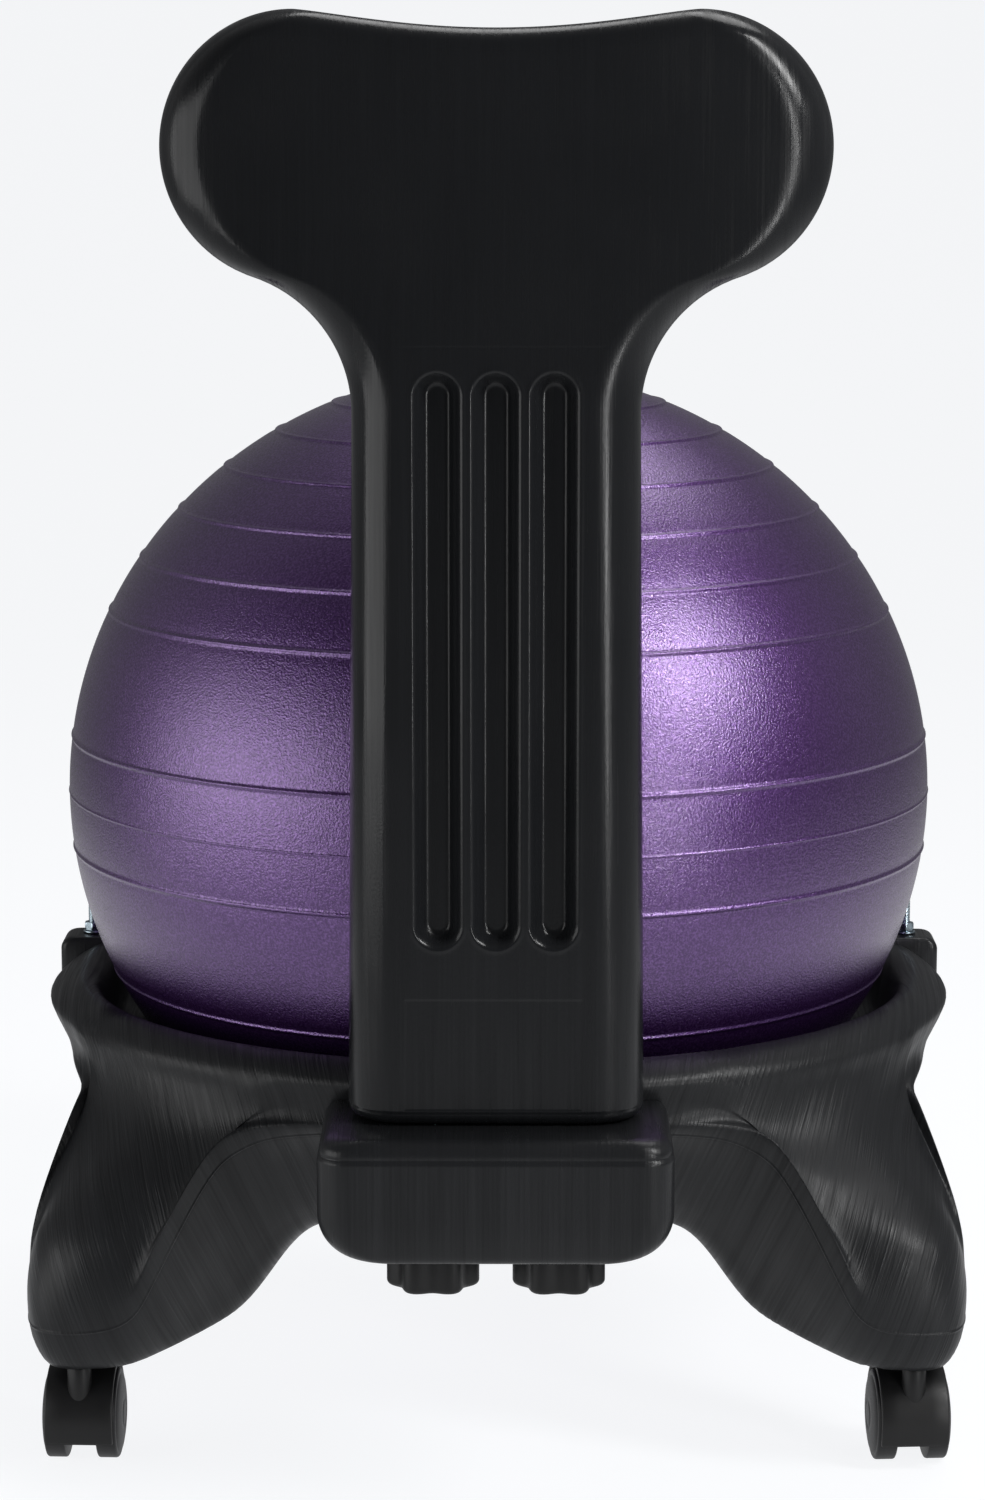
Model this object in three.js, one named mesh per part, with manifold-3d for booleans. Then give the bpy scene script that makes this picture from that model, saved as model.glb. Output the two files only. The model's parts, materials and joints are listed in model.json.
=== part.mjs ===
// Balance ball chair: an exercise ball in a blow-moulded base on four swivel casters, with a
// blow-moulded backrest clamped on the base's rear block and a steel bar round the front of the ball.
// Millimetres, +Z up, floor at Z = 0. The sitter faces -Y, with the left side at +X.

import * as THREE from 'three';
import { mergeVertices } from 'three/addons/utils/BufferGeometryUtils.js';
import Module from 'manifold-3d';

const wasm = await Module();
wasm.setup();

// Fits
const clearance = 0.3; // between pieces that touch or run in each other
const overrun = 6; // how far a cutter runs past the face that it opens
const weldDistance = 0.001; // vertices closer than this are one

// Ball
const ballDiameter = 510;
const ballHeightShare = 0.965; // the ball is squashed a little by its own weight
const ballWall = 2;
const ribHeight = 1.5;
const ribWidth = 4.2;
const bandEdgeLatitude = 7.7; // degrees, rib each side of the ball's parting line
const firstRibLatitude = 25.7; // degrees, first rib past the plain band
const ribPitchAngle = 8.36; // degrees
const ribsPerHalf = 6;
const poleLatitude = 90; // degrees
const valveBore = 9;
const valveCollarRadius = 9;
const valveCollarDepth = 9;
const plugFlangeRadius = 8;
const plugFlangeThickness = 2.2;
const plugLength = 16;

// Wheels and casters
const wheelRadius = 25;
const wheelFacets = 16;
const wheelGap = 17.4; // between the twin wheels
const wheelWidth = 11.3;
const wheelDome = 2.4; // crown of the outer disc
const wheelDomeShare = 0.8; // of the crown, reached half-way in
const wheelEdge = 1.2;
const axleDiameter = 6;
const axleEndDepth = 8.6; // how far the axle enters each wheel
const hoodThickness = 2.5;
const hoodRunningGap = 2; // between tread and hood
const hoodFrontAngle = -30; // degrees from the horizontal on the stem side
const hoodBackAngle = 196;
const hoodWebAngle = 210;
const trail = 19; // stem axis to axle
const bossRadius = 6.7;
const bossRise = 33; // top of the stem boss above the axle
const bossLength = 22;
const stemDiameter = 8;
const stemCollarRadius = 5.6;
const stemCollarHeight = 2.4;
const stemLowerLength = 25;
const stemUpperLength = 33;
const stemTip = 1.2;
const socketRadius = 6;
const socketLength = 37;
const socketFlangeRadius = 9;
const socketFlangeThickness = 1.4;
const rearLeftTurn = -2; // degrees that each caster has swivelled
const rearRightTurn = 4;
const frontLeftTurn = 171;
const frontRightTurn = -176;

// Lock pedals of the two front casters
const pedalPivotOut = 24; // behind and above the axle
const pedalPivotUp = 25;
const pedalHubRadius = 3.6;
const pedalWidth = 13;
const pedalLength = 21;
const pedalDrop = 8;
const pedalThickness = 3;
const pedalPinDiameter = 3;
const earThickness = 2;
const earRadius = 4;
const earRootDepth = 3;

// Base moulding
const rimOverhang = 13.3; // the rim bulges this far past the ball
const crestHeight = 234.5;
const footOverhang = 58.4; // the caster stems stand this far outside the rim's bulge
const footRadius = 28.5; // rounded end of a foot round its stem
const seatRadiusShare = 0.746; // circle that carries the ball, in rim radii
const seatUpShare = 0.764;
const seatBand = 7; // width of the band that follows the ball
const seatGap = 0.6;

// Rear block that carries the backrest
const blockWidth = 188;
const blockHeight = 67.5;
const blockTopDrop = 20; // below the rim's crest
const blockLip = 33; // how far the block stands out behind the backrest
const blockLowerCorner = 26;
const blockUpperCorner = 9;
const blockRearEdge = 7;
const partingDrop = 11; // ledge where the mould halves met, below the block's top
const partingStep = 0.9; // the upper half stands back by this
const blockRootShare = 0.88; // where the block starts inside the rim, in rim radii

// Backrest
const postGap = 2; // rim to backrest
const postDepth = 40;
const postFootWidth = 158;
const postNeckWidth = 151;
const postFootEdge = 6;
const rearCornerWidth = 30;
const frontCornerWidth = 10;
const rearCornerDepthShare = 0.8;
const neckRadius = 74;
const lobeRadius = 70.2;
const lobeOffset = 104.6; // lobe centres from the middle
const backrestTop = 796.5;
const dipDepth = 9.5;
const dipSharpness = 1.3;
const headDepth = 32;
const headWrap = 12; // the wings come forward by this
const headDepthShare = 0.5; // the head has its full depth and wrap from here up, in head heights
const dipStartShare = 0.65; // the top edge sinks from here up, in head heights
const topEdge = 15;
const topEdgeDepthShare = 0.12; // thickness left at the very top, in head depths

// Grooves pressed into the back of the backrest
const groovePitch = 30.3;
const grooveMouth = 22;
const grooveFloor = 12;
const grooveDepth = 9;
const grooveBottomHeight = 312;
const grooveLength = 299;

// Clamp of the backrest
const knobSpacing = 67.4;
const knobRadius = 24.8;
const knobLobes = 6;
const knobLobeDepth = 4.4;
const knobThickness = 20;
const knobEdge = 1.5;
const knobHubRadius = 12;
const knobHubHeight = 2;
const studDiameter = 8;
const studInKnob = 14;
const studPastInsert = 4;
const insertRadius = 6;
const insertLength = 20;
const clampWasherRadius = 11;
const clampWasherThickness = 1.5;
const backrestTravel = 20;

// Lugs and retaining bar
const barDiameter = 6;
const barSetback = 80; // bar ends forward of the middle plane
const barGap = 6.4; // bar to ball
const barBend = 30;
const lugRise = 3.3; // above the rim's crest
const lugHeight = 36;
const lugLength = 34;
const lugWidth = 34;
const lugStandOff = 2.5; // lug's outer face past the rim's bulge
const lugCorner = 7;
const lugEdge = 1.5;
const barInsertRadius = 5;
const barInsertLength = 28;
const barNutAcrossFlats = 10;
const barNutHeight = 5;
const barWasherRadius = 6.2;
const barWasherThickness = 1.4;

// Smoothness
const ballSegments = 24;
const innerBallSteps = 8;
const roundSegments = 10;
const pinSegments = 8;
const railSteps = [3, 1, 1, 1, 1, 1, 1]; // columns of the base moulding between its stations
const sectionSteps = 20;

// Places worked out from the sizes
const footPlaces = [[1, 1], [-1, 1], [-1, -1], [1, -1]];
const ballRadius = ballDiameter / 2;
const ballHalfHeight = ballRadius * ballHeightShare;
const rimRadius = ballRadius + rimOverhang;
const footHeight = wheelRadius + bossRise + stemCollarHeight + 2 * clearance;
const footSpread = (rimRadius + footOverhang) / Math.SQRT2; // stems from both middle planes
const footReach = rimRadius + footOverhang + footRadius;
const seatRadius = seatRadiusShare * rimRadius;
const ballCentreHeight = up(seatUpShare) + seatGap
  + ballHalfHeight * Math.sqrt(1 - (seatRadius / ballRadius) ** 2);
const blockTop = crestHeight - blockTopDrop;
const blockBottom = blockTop - blockHeight;
const postFront = rimRadius + postGap;
const postRear = postFront + postDepth;
const blockRear = postRear + blockLip;
const postFoot = blockTop + clearance;
const clampY = (postFront + postRear) / 2;
const lobeHeight = backrestTop - lobeRadius;
const barX = Math.sqrt((ballRadius + barGap + barDiameter / 2) ** 2 - barSetback ** 2);
const lugTop = crestHeight + lugRise;
const hoodOuterRadius = wheelRadius + hoodRunningGap + hoodThickness;
const knobTop = blockBottom - clampWasherThickness - 2 * clearance;

// A height of the base moulding: 0 at the feet's underside, 1 at the rim's crest.
function up(share) {
  return footHeight + share * (crestHeight - footHeight);
}

// A radius of the base moulding: 1 at the rim's bulge, 2 at the end of a foot.
function out(share) {
  return share <= 1 ? share * rimRadius : rimRadius + (share - 1) * (footReach - rimRadius);
}

// Height of the ball's lower half at a radius.
function ballUnderside(radius) {
  return ballCentreHeight - ballHalfHeight * Math.sqrt(1 - (radius / ballRadius) ** 2);
}

function radians(degrees) {
  return THREE.MathUtils.degToRad(degrees);
}

// One closed surface with shared vertices and its faces pointing out.
function weld(geometry) {
  geometry.deleteAttribute('normal');
  geometry.deleteAttribute('uv');
  const merged = mergeVertices(geometry, weldDistance);
  const index = merged.index.array;
  const position = merged.getAttribute('position');
  const corners = [0, 1, 2].map(() => new THREE.Vector3());
  const faces = [];
  let volume = 0;
  for (let i = 0; i < index.length; i += 3) {
    const [a, b, c] = index.subarray(i, i + 3);
    if (a === b || b === c || c === a) continue;
    faces.push([a, b, c]);
    [a, b, c].forEach((vertex, k) => corners[k].fromBufferAttribute(position, vertex));
    volume += corners[0].dot(corners[1].cross(corners[2]));
  }
  merged.setIndex((volume < 0 ? faces.map(([a, b, c]) => [a, c, b]) : faces).flat());
  return merged;
}

function solid(geometry) {
  const welded = weld(geometry);
  return new wasm.Manifold(new wasm.Mesh({
    numProp: 3,
    vertProperties: new Float32Array(welded.getAttribute('position').array),
    triVerts: new Uint32Array(welded.index.array),
  }));
}

function geometryOf(manifold) {
  const mesh = manifold.getMesh();
  const geometry = new THREE.BufferGeometry();
  geometry.setAttribute('position', new THREE.BufferAttribute(mesh.vertProperties, 3));
  geometry.setIndex(new THREE.BufferAttribute(mesh.triVerts, 1));
  return geometry;
}

// The first geometry with the others joined to it.
function join(...geometries) {
  return geometryOf(geometries.map(solid).reduce((whole, piece) => whole.add(piece)));
}

// The first geometry with the others cut out of it.
function cut(...geometries) {
  return geometryOf(geometries.map(solid).reduce((whole, piece) => whole.subtract(piece)));
}

// A solid of revolution round the Z axis from a profile of [radius, height] points.
function revolve(profile, segments = roundSegments) {
  const points = profile.map(([radius, height]) => new THREE.Vector2(radius, height));
  return new THREE.LatheGeometry(points, segments).rotateX(Math.PI / 2);
}

function disc(radius, bottom, top, segments = roundSegments) {
  return revolve([[0, bottom], [radius, bottom], [radius, top], [0, top]], segments);
}

function tubePiece(outer, inner, bottom, top, segments = roundSegments) {
  return revolve(
    [[inner, bottom], [outer, bottom], [outer, top], [inner, top], [inner, bottom]],
    segments,
  );
}

// A flat outline in X and Z, extruded along Y between two planes, with rounded end edges.
function slab(shape, near, far, edge = 0) {
  const geometry = new THREE.ExtrudeGeometry(shape, {
    depth: far - near - 2 * edge,
    bevelEnabled: edge > 0,
    bevelThickness: edge,
    bevelSize: edge,
    bevelOffset: -edge,
    bevelSegments: 2,
    curveSegments: 5,
  });
  return geometry.rotateX(Math.PI / 2).translate(0, far - edge, 0);
}

// A surface over rows of points; each row closes on itself, and so do the rows if `round` is set.
// Otherwise each end row is closed by a strip between its two halves.
function loft(rows, round = false) {
  const count = rows[0].length;
  const index = [];
  const at = (row, column) => (row % rows.length) * count + (column % count);
  const quad = (a, b, c, d) => index.push(a, b, c, a, c, d);
  const last = round ? rows.length : rows.length - 1;
  for (let row = 0; row < last; row += 1) {
    for (let column = 0; column < count; column += 1) {
      quad(at(row, column), at(row, column + 1), at(row + 1, column + 1), at(row + 1, column));
    }
  }
  if (!round) {
    for (let column = 0; column < count / 2 - 1; column += 1) {
      const mirrored = count - 1 - column;
      quad(at(0, column), at(0, mirrored), at(0, mirrored - 1), at(0, column + 1));
      quad(at(last, column), at(last, column + 1), at(last, mirrored - 1), at(last, mirrored));
    }
  }
  const geometry = new THREE.BufferGeometry().setFromPoints(rows.flat());
  geometry.setIndex(index);
  return geometry;
}

// Base moulding: a closed section through rails that run round the ball. Each sector between two
// arch middles holds one leg. A rail's stations are given over half a sector, from the arch's
// middle to the leg's. On the rim the stations stand at these shares of the half sector:
const stationShares = [0, 0.36, 0.48, 0.58, 0.72, 0.83, 0.92, 1];

// Ridge of the leg: [round share, out share, up share] at each station.
const ridgeShares = [
  [0, 0.93, 0.79], [0.58, 1.005, 0.782], [0.68, 1.045, 0.757], [0.735, 1.11, 0.712],
  [0.8, 1.55, 0.37], [0.836, 1.695, 0.22], [0.918, 1.89, 0.19], [1, 2, 0.185],
];

// Rim rails are circles: [out share, up share].
const rimInnerShares = [0.905, 0.985];
const rimCrestShares = [0.943, 1];
const rimBulgeShares = [1, 0.94];
const bowlWallShares = [0.845, 0.84];
const bowlFloorShares = [0.676, 0.56];

// Outer wall between bulge and ridge: how far the rail leans from the rim's station towards the
// ridge's, then [out share, up share] at each station.
const outerWallShares = [
  { lean: 0.1, path: [[0.995, 0.905], [0.994, 0.903], [0.994, 0.9], [0.995, 0.895], [1, 0.88],
    [1, 0.875], [1, 0.873], [1, 0.873]] },
  { lean: 0.35, path: [[0.981, 0.862], [0.983, 0.86], [0.985, 0.856], [0.992, 0.84], [1.04, 0.77],
    [1.08, 0.745], [1.12, 0.74], [1.135, 0.74]] },
  { lean: 0.65, path: [[0.96, 0.824], [0.983, 0.828], [0.99, 0.82], [1.01, 0.795], [1.21, 0.63],
    [1.36, 0.57], [1.47, 0.57], [1.52, 0.575]] },
  { lean: 0.85, path: [[0.945, 0.804], [0.992, 0.803], [1.005, 0.79], [1.05, 0.755], [1.38, 0.5],
    [1.57, 0.405], [1.8, 0.395], [1.88, 0.395]] },
];

// Underside from the ridge to the bowl: [round share, out share, up share] at each station.
const undersideShares = [
  [[0, 0.905, 0.72], [0.61, 0.935, 0.66], [0.71, 0.955, 0.57], [0.765, 0.985, 0.46],
    [0.81, 1.38, 0.213], [0.847, 1.62, 0.11], [0.922, 1.855, 0.07], [1, 1.975, 0.07]],
  [[0, 0.828, 0.46], [0.645, 0.828, 0.438], [0.75, 0.86, 0.35], [0.805, 0.923, 0.213],
    [0.83, 1.17, 0.104], [0.867, 1.46, 0.03], [0.931, 1.73, -0.012], [1, 1.85, -0.012]],
  [[0, 0.765, 0.403], [0.665, 0.772, 0.37], [0.77, 0.815, 0.265], [0.822, 0.885, 0.115],
    [0.84, 1.01, 0.063], [0.886, 1.3, 0.012], [0.942, 1.42, -0.023], [1, 1.5, -0.023]],
  [[0, 0.7, 0.4], [0.67, 0.705, 0.375], [0.8, 0.725, 0.29], [0.878, 0.772, 0.16],
    [0.922, 0.825, 0.104], [0.955, 0.89, 0.07], [0.982, 0.945, 0.045], [1, 0.965, 0.035]],
  [[0, 0.664, 0.455], [0.68, 0.664, 0.45], [0.83, 0.67, 0.4], [0.9, 0.695, 0.3],
    [0.944, 0.74, 0.21], [0.97, 0.775, 0.17], [0.99, 0.805, 0.15], [1, 0.815, 0.145]],
  [[0, 0.656, 0.515], [0.68, 0.656, 0.51], [0.83, 0.656, 0.49], [0.9, 0.664, 0.45],
    [0.944, 0.685, 0.39], [0.97, 0.705, 0.35], [0.99, 0.715, 0.33], [1, 0.72, 0.325]],
];

const halfSector = Math.PI / 4;

// Each rail as its [round share, radius, height] at the stations.
function baseRails() {
  const circle = ([outShare, upShare]) =>
    stationShares.map((share) => [share, out(outShare), up(upShare)]);
  const leaning = ({ lean, path }) => path.map(([outShare, upShare], station) => [
    THREE.MathUtils.lerp(stationShares[station], ridgeShares[station][0], lean),
    out(outShare),
    up(upShare),
  ]);
  const free = (path) => path.map(([round, outShare, upShare]) => [round, out(outShare), up(upShare)]);
  const seat = (radius) => stationShares.map((share) => [share, radius, ballUnderside(radius) - seatGap]);
  return [
    circle(rimInnerShares), circle(rimCrestShares), circle(rimBulgeShares),
    ...outerWallShares.map(leaning), free(ridgeShares), ...undersideShares.map(free),
    circle(bowlFloorShares), seat(seatRadius - seatBand / 2), seat(seatRadius + seatBand / 2),
    circle(bowlWallShares),
  ];
}

// A rail over half a sector as a curve of [distance round, radius, height], mirrored at both ends.
function railCurve(stations) {
  const unroll = ([round, radius, height]) =>
    new THREE.Vector3(round * halfSector * rimRadius, radius, height);
  const [round, radius, height] = stations[1];
  const [lastRound, lastRadius, lastHeight] = stations[stations.length - 2];
  const points = [[-round, radius, height], ...stations, [2 - lastRound, lastRadius, lastHeight]];
  return new THREE.CatmullRomCurve3(points.map(unroll), false, 'centripetal');
}

// The sections of half a sector, from the arch's middle to the leg's.
function halfSectorSections() {
  const curves = baseRails().map(railCurve);
  const sections = [];
  railSteps.forEach((steps, span) => {
    for (let step = 0; step < steps; step += 1) {
      const place = (1 + span + step / steps) / (railSteps.length + 2);
      sections.push(curves.map((curve) => curve.getPoint(place)));
    }
  });
  sections.push(curves.map((curve) => curve.getPoint(1 - 1 / (railSteps.length + 2))));
  return sections;
}

function ringMoulding() {
  const half = halfSectorSections();
  const rows = [];
  const place = (section, angleOf) => {
    const points = section.map(({ x, y, z }) => {
      const angle = angleOf(x / rimRadius);
      return new THREE.Vector3(y * Math.cos(angle), y * Math.sin(angle), z);
    });
    rows.push(new THREE.CatmullRomCurve3(points, true).getPoints(sectionSteps).slice(0, -1));
  };
  for (let leg = 0; leg < footPlaces.length; leg += 1) {
    const start = 2 * leg * halfSector;
    half.slice(0, -1).forEach((section) => place(section, (turn) => start + turn));
    half.slice(1).reverse().forEach((section) => place(section, (turn) => start + 2 * halfSector - turn));
  }
  return loft(rows, true);
}

// The block's outline seen from behind: square shoulders above, well rounded corners below.
// Its sides, underside and rear face stand back by an inset.
function blockForm(inset) {
  const half = blockWidth / 2 - inset;
  const low = blockLowerCorner;
  const high = blockUpperCorner;
  const bottom = blockBottom + inset;
  const shape = new THREE.Shape();
  shape.absarc(half - high, blockTop - high, high, 0, Math.PI / 2);
  shape.absarc(-half + high, blockTop - high, high, Math.PI / 2, Math.PI);
  shape.absarc(-half + low, bottom + low, low, Math.PI, 1.5 * Math.PI);
  shape.absarc(half - low, bottom + low, low, 1.5 * Math.PI, 2 * Math.PI);
  return slab(shape, out(blockRootShare), blockRear - inset, blockRearEdge);
}

// The block's full form up to the parting line, and a slightly smaller one above it.
function rearBlock() {
  const above = new THREE.BoxGeometry(2 * blockWidth, 4 * rimRadius, 2 * partingDrop)
    .translate(0, 0, blockTop);
  return join(cut(blockForm(0), above), blockForm(partingStep));
}

// A lug beside the rim that takes one end of the retaining bar.
function barLug(side) {
  const outer = rimRadius + lugStandOff;
  const inner = outer - lugWidth;
  const bottom = lugTop - lugHeight;
  const shape = new THREE.Shape();
  shape.moveTo(inner, bottom);
  shape.lineTo(outer, bottom);
  shape.absarc(outer - lugCorner, lugTop - lugCorner, lugCorner, 0, Math.PI / 2);
  shape.lineTo(inner, lugTop);
  const half = lugLength / 2;
  const geometry = slab(shape, -barSetback - half, -barSetback + half, lugEdge);
  return side > 0 ? geometry : geometry.scale(-1, 1, 1);
}

// A slot for a clamp stud, long enough for the backrest's travel.
function studSlot(x) {
  const half = studDiameter / 2 + clearance;
  const shape = new THREE.Shape();
  shape.absarc(x, clampY, half, Math.PI, 2 * Math.PI);
  shape.absarc(x, clampY + backrestTravel, half, 0, Math.PI);
  const depth = blockHeight + 2 * overrun;
  const geometry = new THREE.ExtrudeGeometry(shape, { depth, bevelEnabled: false, curveSegments: 6 });
  return geometry.translate(0, 0, blockBottom - overrun);
}

function baseShell() {
  const size = 4 * footReach;
  const trim = new THREE.BoxGeometry(size, size, footHeight).translate(0, 0, footHeight / 2);
  const sockets = footPlaces.map(([x, y]) => {
    const flange = socketFlangeRadius + clearance;
    const sleeve = socketRadius + clearance;
    const floor = footHeight + socketFlangeThickness + clearance;
    const top = footHeight + socketLength + clearance;
    const bottom = footHeight - overrun;
    return revolve([[0, bottom], [flange, bottom], [flange, floor], [sleeve, floor], [sleeve, top], [0, top]])
      .translate(x * footSpread, y * footSpread, 0);
  });
  const barBores = [1, -1].map((side) => disc(
    barInsertRadius + clearance,
    lugTop - barInsertLength - clearance,
    lugTop + overrun,
  ).translate(side * barX, -barSetback, 0));
  const whole = join(ringMoulding(), rearBlock(), barLug(1), barLug(-1));
  const slots = [1, -1].map((side) => studSlot(side * knobSpacing / 2));
  return cut(whole, trim, ...sockets, ...barBores, ...slots);
}

// The ball's outer profile from its top to the valve, with a raised bead at each rib.
function ballProfile() {
  const beads = [bandEdgeLatitude];
  for (let rib = 0; rib < ribsPerHalf; rib += 1) beads.push(firstRibLatitude + rib * ribPitchAngle);
  const point = (latitude, rise) => [
    (ballRadius + rise) * Math.cos(radians(latitude)),
    (ballHalfHeight + rise) * Math.sin(radians(latitude)),
  ];
  const spread = THREE.MathUtils.radToDeg(ribWidth / 2 / ballRadius);
  const bead = (latitude) => [
    point(latitude + spread, 0), point(latitude, ribHeight), point(latitude - spread, 0),
  ];
  const bandMiddle = (bandEdgeLatitude + firstRibLatitude) / 2;
  const lastRib = beads[beads.length - 1];
  const capLatitudes = [1, 2].map((step) => lastRib + step * (poleLatitude - lastRib) / 3);
  const upper = [...beads].reverse();
  const profile = [[0, ballHalfHeight]];
  [...capLatitudes].reverse().forEach((latitude) => profile.push(point(latitude, 0)));
  upper.forEach((latitude) => {
    profile.push(...bead(latitude));
    if (latitude === firstRibLatitude) profile.push(point(bandMiddle, 0));
  });
  profile.push(point(0, 0));
  beads.forEach((latitude) => {
    profile.push(...bead(-latitude));
    if (latitude === bandEdgeLatitude) profile.push(point(-bandMiddle, 0));
  });
  capLatitudes.forEach((latitude) => profile.push(point(-latitude, 0)));
  return profile;
}

// The ball is a thin shell with a thick collar round its valve bore at the bottom.
function ball() {
  const bore = valveBore / 2;
  const innerRadius = ballRadius - ballWall;
  const innerHalf = ballHalfHeight - ballWall;
  const profile = ballProfile();
  profile.push([bore, -ballHalfHeight], [bore, -ballHalfHeight + valveCollarDepth]);
  profile.push([valveCollarRadius, -ballHalfHeight + valveCollarDepth]);
  const start = Math.asin(valveCollarRadius / innerRadius);
  for (let step = 0; step <= innerBallSteps; step += 1) {
    const angle = start + (Math.PI - start) * step / innerBallSteps;
    profile.push([innerRadius * Math.sin(angle), -innerHalf * Math.cos(angle)]);
  }
  profile[profile.length - 1][0] = 0;
  return revolve(profile, ballSegments);
}

function valvePlug() {
  const radius = valveBore / 2 - clearance;
  const base = -ballHalfHeight - clearance;
  return revolve([
    [0, base - plugFlangeThickness],
    [plugFlangeRadius, base - plugFlangeThickness],
    [plugFlangeRadius, base],
    [radius, base],
    [radius, base + plugLength - radius],
    [radius / 2, base + plugLength],
    [0, base + plugLength],
  ]);
}

// Half the backrest's width and the height of each row, from foot to lobe tops, with the
// row's place in the head from 0 at the neck to 1 at the top.
function backrestRows() {
  const neckHalf = postNeckWidth / 2;
  const footHalf = postFootWidth / 2;
  const neckX = neckHalf + neckRadius;
  const rise = Math.sqrt((neckRadius + lobeRadius) ** 2 - (neckX - lobeOffset) ** 2);
  const neckZ = lobeHeight - rise;
  const tangent = Math.atan2(rise, lobeOffset - neckX);
  const rows = [0, 1, 2].map((step) => {
    const angle = step * Math.PI / 4;
    const inset = postFootEdge * (1 - Math.sin(angle));
    return [footHalf - inset, postFoot + postFootEdge * (1 - Math.cos(angle)), 0];
  });
  rows.push([(footHalf + neckHalf) / 2, (postFoot + neckZ) / 2, 0]);
  const neckSteps = 5;
  for (let step = 0; step <= neckSteps; step += 1) {
    const angle = Math.PI - (Math.PI - tangent) * step / neckSteps;
    rows.push([neckX + neckRadius * Math.cos(angle), neckZ + neckRadius * Math.sin(angle), 0]);
  }
  const lobeSteps = 12;
  for (let step = 1; step <= lobeSteps; step += 1) {
    const angle = tangent - Math.PI + (1.5 * Math.PI - tangent) * step / lobeSteps;
    rows.push([lobeOffset + lobeRadius * Math.cos(angle), lobeHeight + lobeRadius * Math.sin(angle), 0]);
  }
  return rows.map(([half, z]) => [half, z, Math.max(0, (z - neckZ) / (backrestTop - neckZ))]);
}

// One row of the backrest: rounded rear corners, tighter front corners, faces between them.
function backrestRow([half, height, headShare], inset) {
  const smooth = THREE.MathUtils.smoothstep(headShare, 0, headDepthShare);
  const depth = THREE.MathUtils.lerp(postDepth, headDepth, smooth);
  const middle = (postFront + postRear) / 2;
  const fromTop = Math.min(1, (backrestTop - height) / topEdge);
  const bulge = Math.sqrt(1 - (1 - fromTop) ** 2);
  const thickness = depth * Math.max(topEdgeDepthShare, bulge) - 2 * inset;
  const rear = middle + thickness / 2;
  const front = middle - thickness / 2;
  const split = rear - rearCornerDepthShare * thickness;
  const lobeShare = THREE.MathUtils.smoothstep(headShare, dipStartShare, 1);
  const warp = (x) => -headWrap * smooth * (x / (lobeOffset + lobeRadius)) ** 2;
  const sink = (x) => {
    const share = Math.min(1, Math.abs(x) / lobeOffset);
    return dipDepth * lobeShare * (1 - share ** 2) ** dipSharpness;
  };
  const side = (cornerWidth, face) => {
    const width = Math.min(cornerWidth, half / 2);
    const points = [];
    const cornerSteps = 3;
    for (let step = 0; step <= cornerSteps; step += 1) {
      const angle = step / cornerSteps * Math.PI / 2;
      points.push([half - width * (1 - Math.cos(angle)), split + (face - split) * Math.sin(angle)]);
    }
    const flat = half - width;
    const faceSteps = 6;
    for (let step = 1; step < faceSteps; step += 1) points.push([flat * (1 - 2 * step / faceSteps), face]);
    const corner = points.slice(0, cornerSteps + 1).reverse();
    corner.forEach(([x, y]) => points.push([-x, y]));
    return points;
  };
  const back = side(rearCornerWidth, rear);
  const fore = side(frontCornerWidth, front).reverse();
  back[0][1] += clearance;
  back[back.length - 1][1] += clearance;
  return [...back, ...fore].map(([x, y]) => new THREE.Vector3(x, y + warp(x), height - sink(x)));
}

// A cutter for one pressed groove: a tapered pocket with round ends in the rear face.
function groove(x) {
  const slope = (grooveMouth - grooveFloor) / 2 / grooveDepth;
  const ring = (radius, y) => {
    const points = [];
    const steps = 6;
    const reach = grooveLength / 2 - grooveMouth / 2;
    const middle = grooveBottomHeight + grooveLength / 2;
    [1, -1].forEach((end) => {
      for (let step = 0; step <= steps; step += 1) {
        const angle = (end > 0 ? 0 : Math.PI) + step / steps * Math.PI;
        const z = middle + end * reach + radius * Math.sin(angle);
        points.push(new THREE.Vector3(x + radius * Math.cos(angle), y, z));
      }
    });
    return points;
  };
  return loft([
    ring(grooveFloor / 2, postRear - grooveDepth),
    ring(grooveMouth / 2 + slope * overrun, postRear + overrun),
  ]);
}

function backrest() {
  const rows = backrestRows().map((row, place) => {
    const angle = Math.min(place, 2) * Math.PI / 4;
    return backrestRow(row, postFootEdge * (1 - Math.sin(angle)));
  });
  const grooves = [-1, 0, 1].map((step) => groove(step * groovePitch));
  const bores = [1, -1].map((side) => {
    const wide = insertRadius + clearance;
    const narrow = studDiameter / 2 + clearance;
    const shoulder = postFoot + insertLength + clearance;
    const top = shoulder + studPastInsert + clearance;
    const bottom = postFoot - overrun;
    return revolve([
      [0, bottom], [wide, bottom], [wide, shoulder], [narrow, shoulder], [narrow, top], [0, top],
    ]).translate(side * knobSpacing / 2, clampY, 0);
  });
  return cut(loft(rows), ...grooves, ...bores);
}

// Star knob: an outline with round lobes, a hub above it and a blind bore for its stud.
function knob() {
  const outline = new THREE.Shape();
  const points = [];
  const steps = knobLobes * 5;
  for (let step = 0; step < steps; step += 1) {
    const angle = step / steps * 2 * Math.PI;
    const radius = knobRadius - knobLobeDepth * (1 - Math.cos(knobLobes * angle)) / 2;
    points.push(new THREE.Vector2(radius * Math.cos(angle), radius * Math.sin(angle)));
  }
  outline.setFromPoints(points);
  const bottom = knobTop - knobHubHeight - knobThickness;
  const star = new THREE.ExtrudeGeometry(outline, {
    depth: knobThickness - 2 * knobEdge,
    bevelThickness: knobEdge,
    bevelSize: knobEdge,
    bevelOffset: -knobEdge,
    bevelSegments: 1,
  }).translate(0, 0, bottom + knobEdge);
  const hub = disc(knobHubRadius, bottom + knobEdge, knobTop);
  const bore = disc(studDiameter / 2 + clearance, knobTop - studInKnob - clearance, knobTop + overrun);
  return cut(join(star, hub), bore);
}

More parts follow.
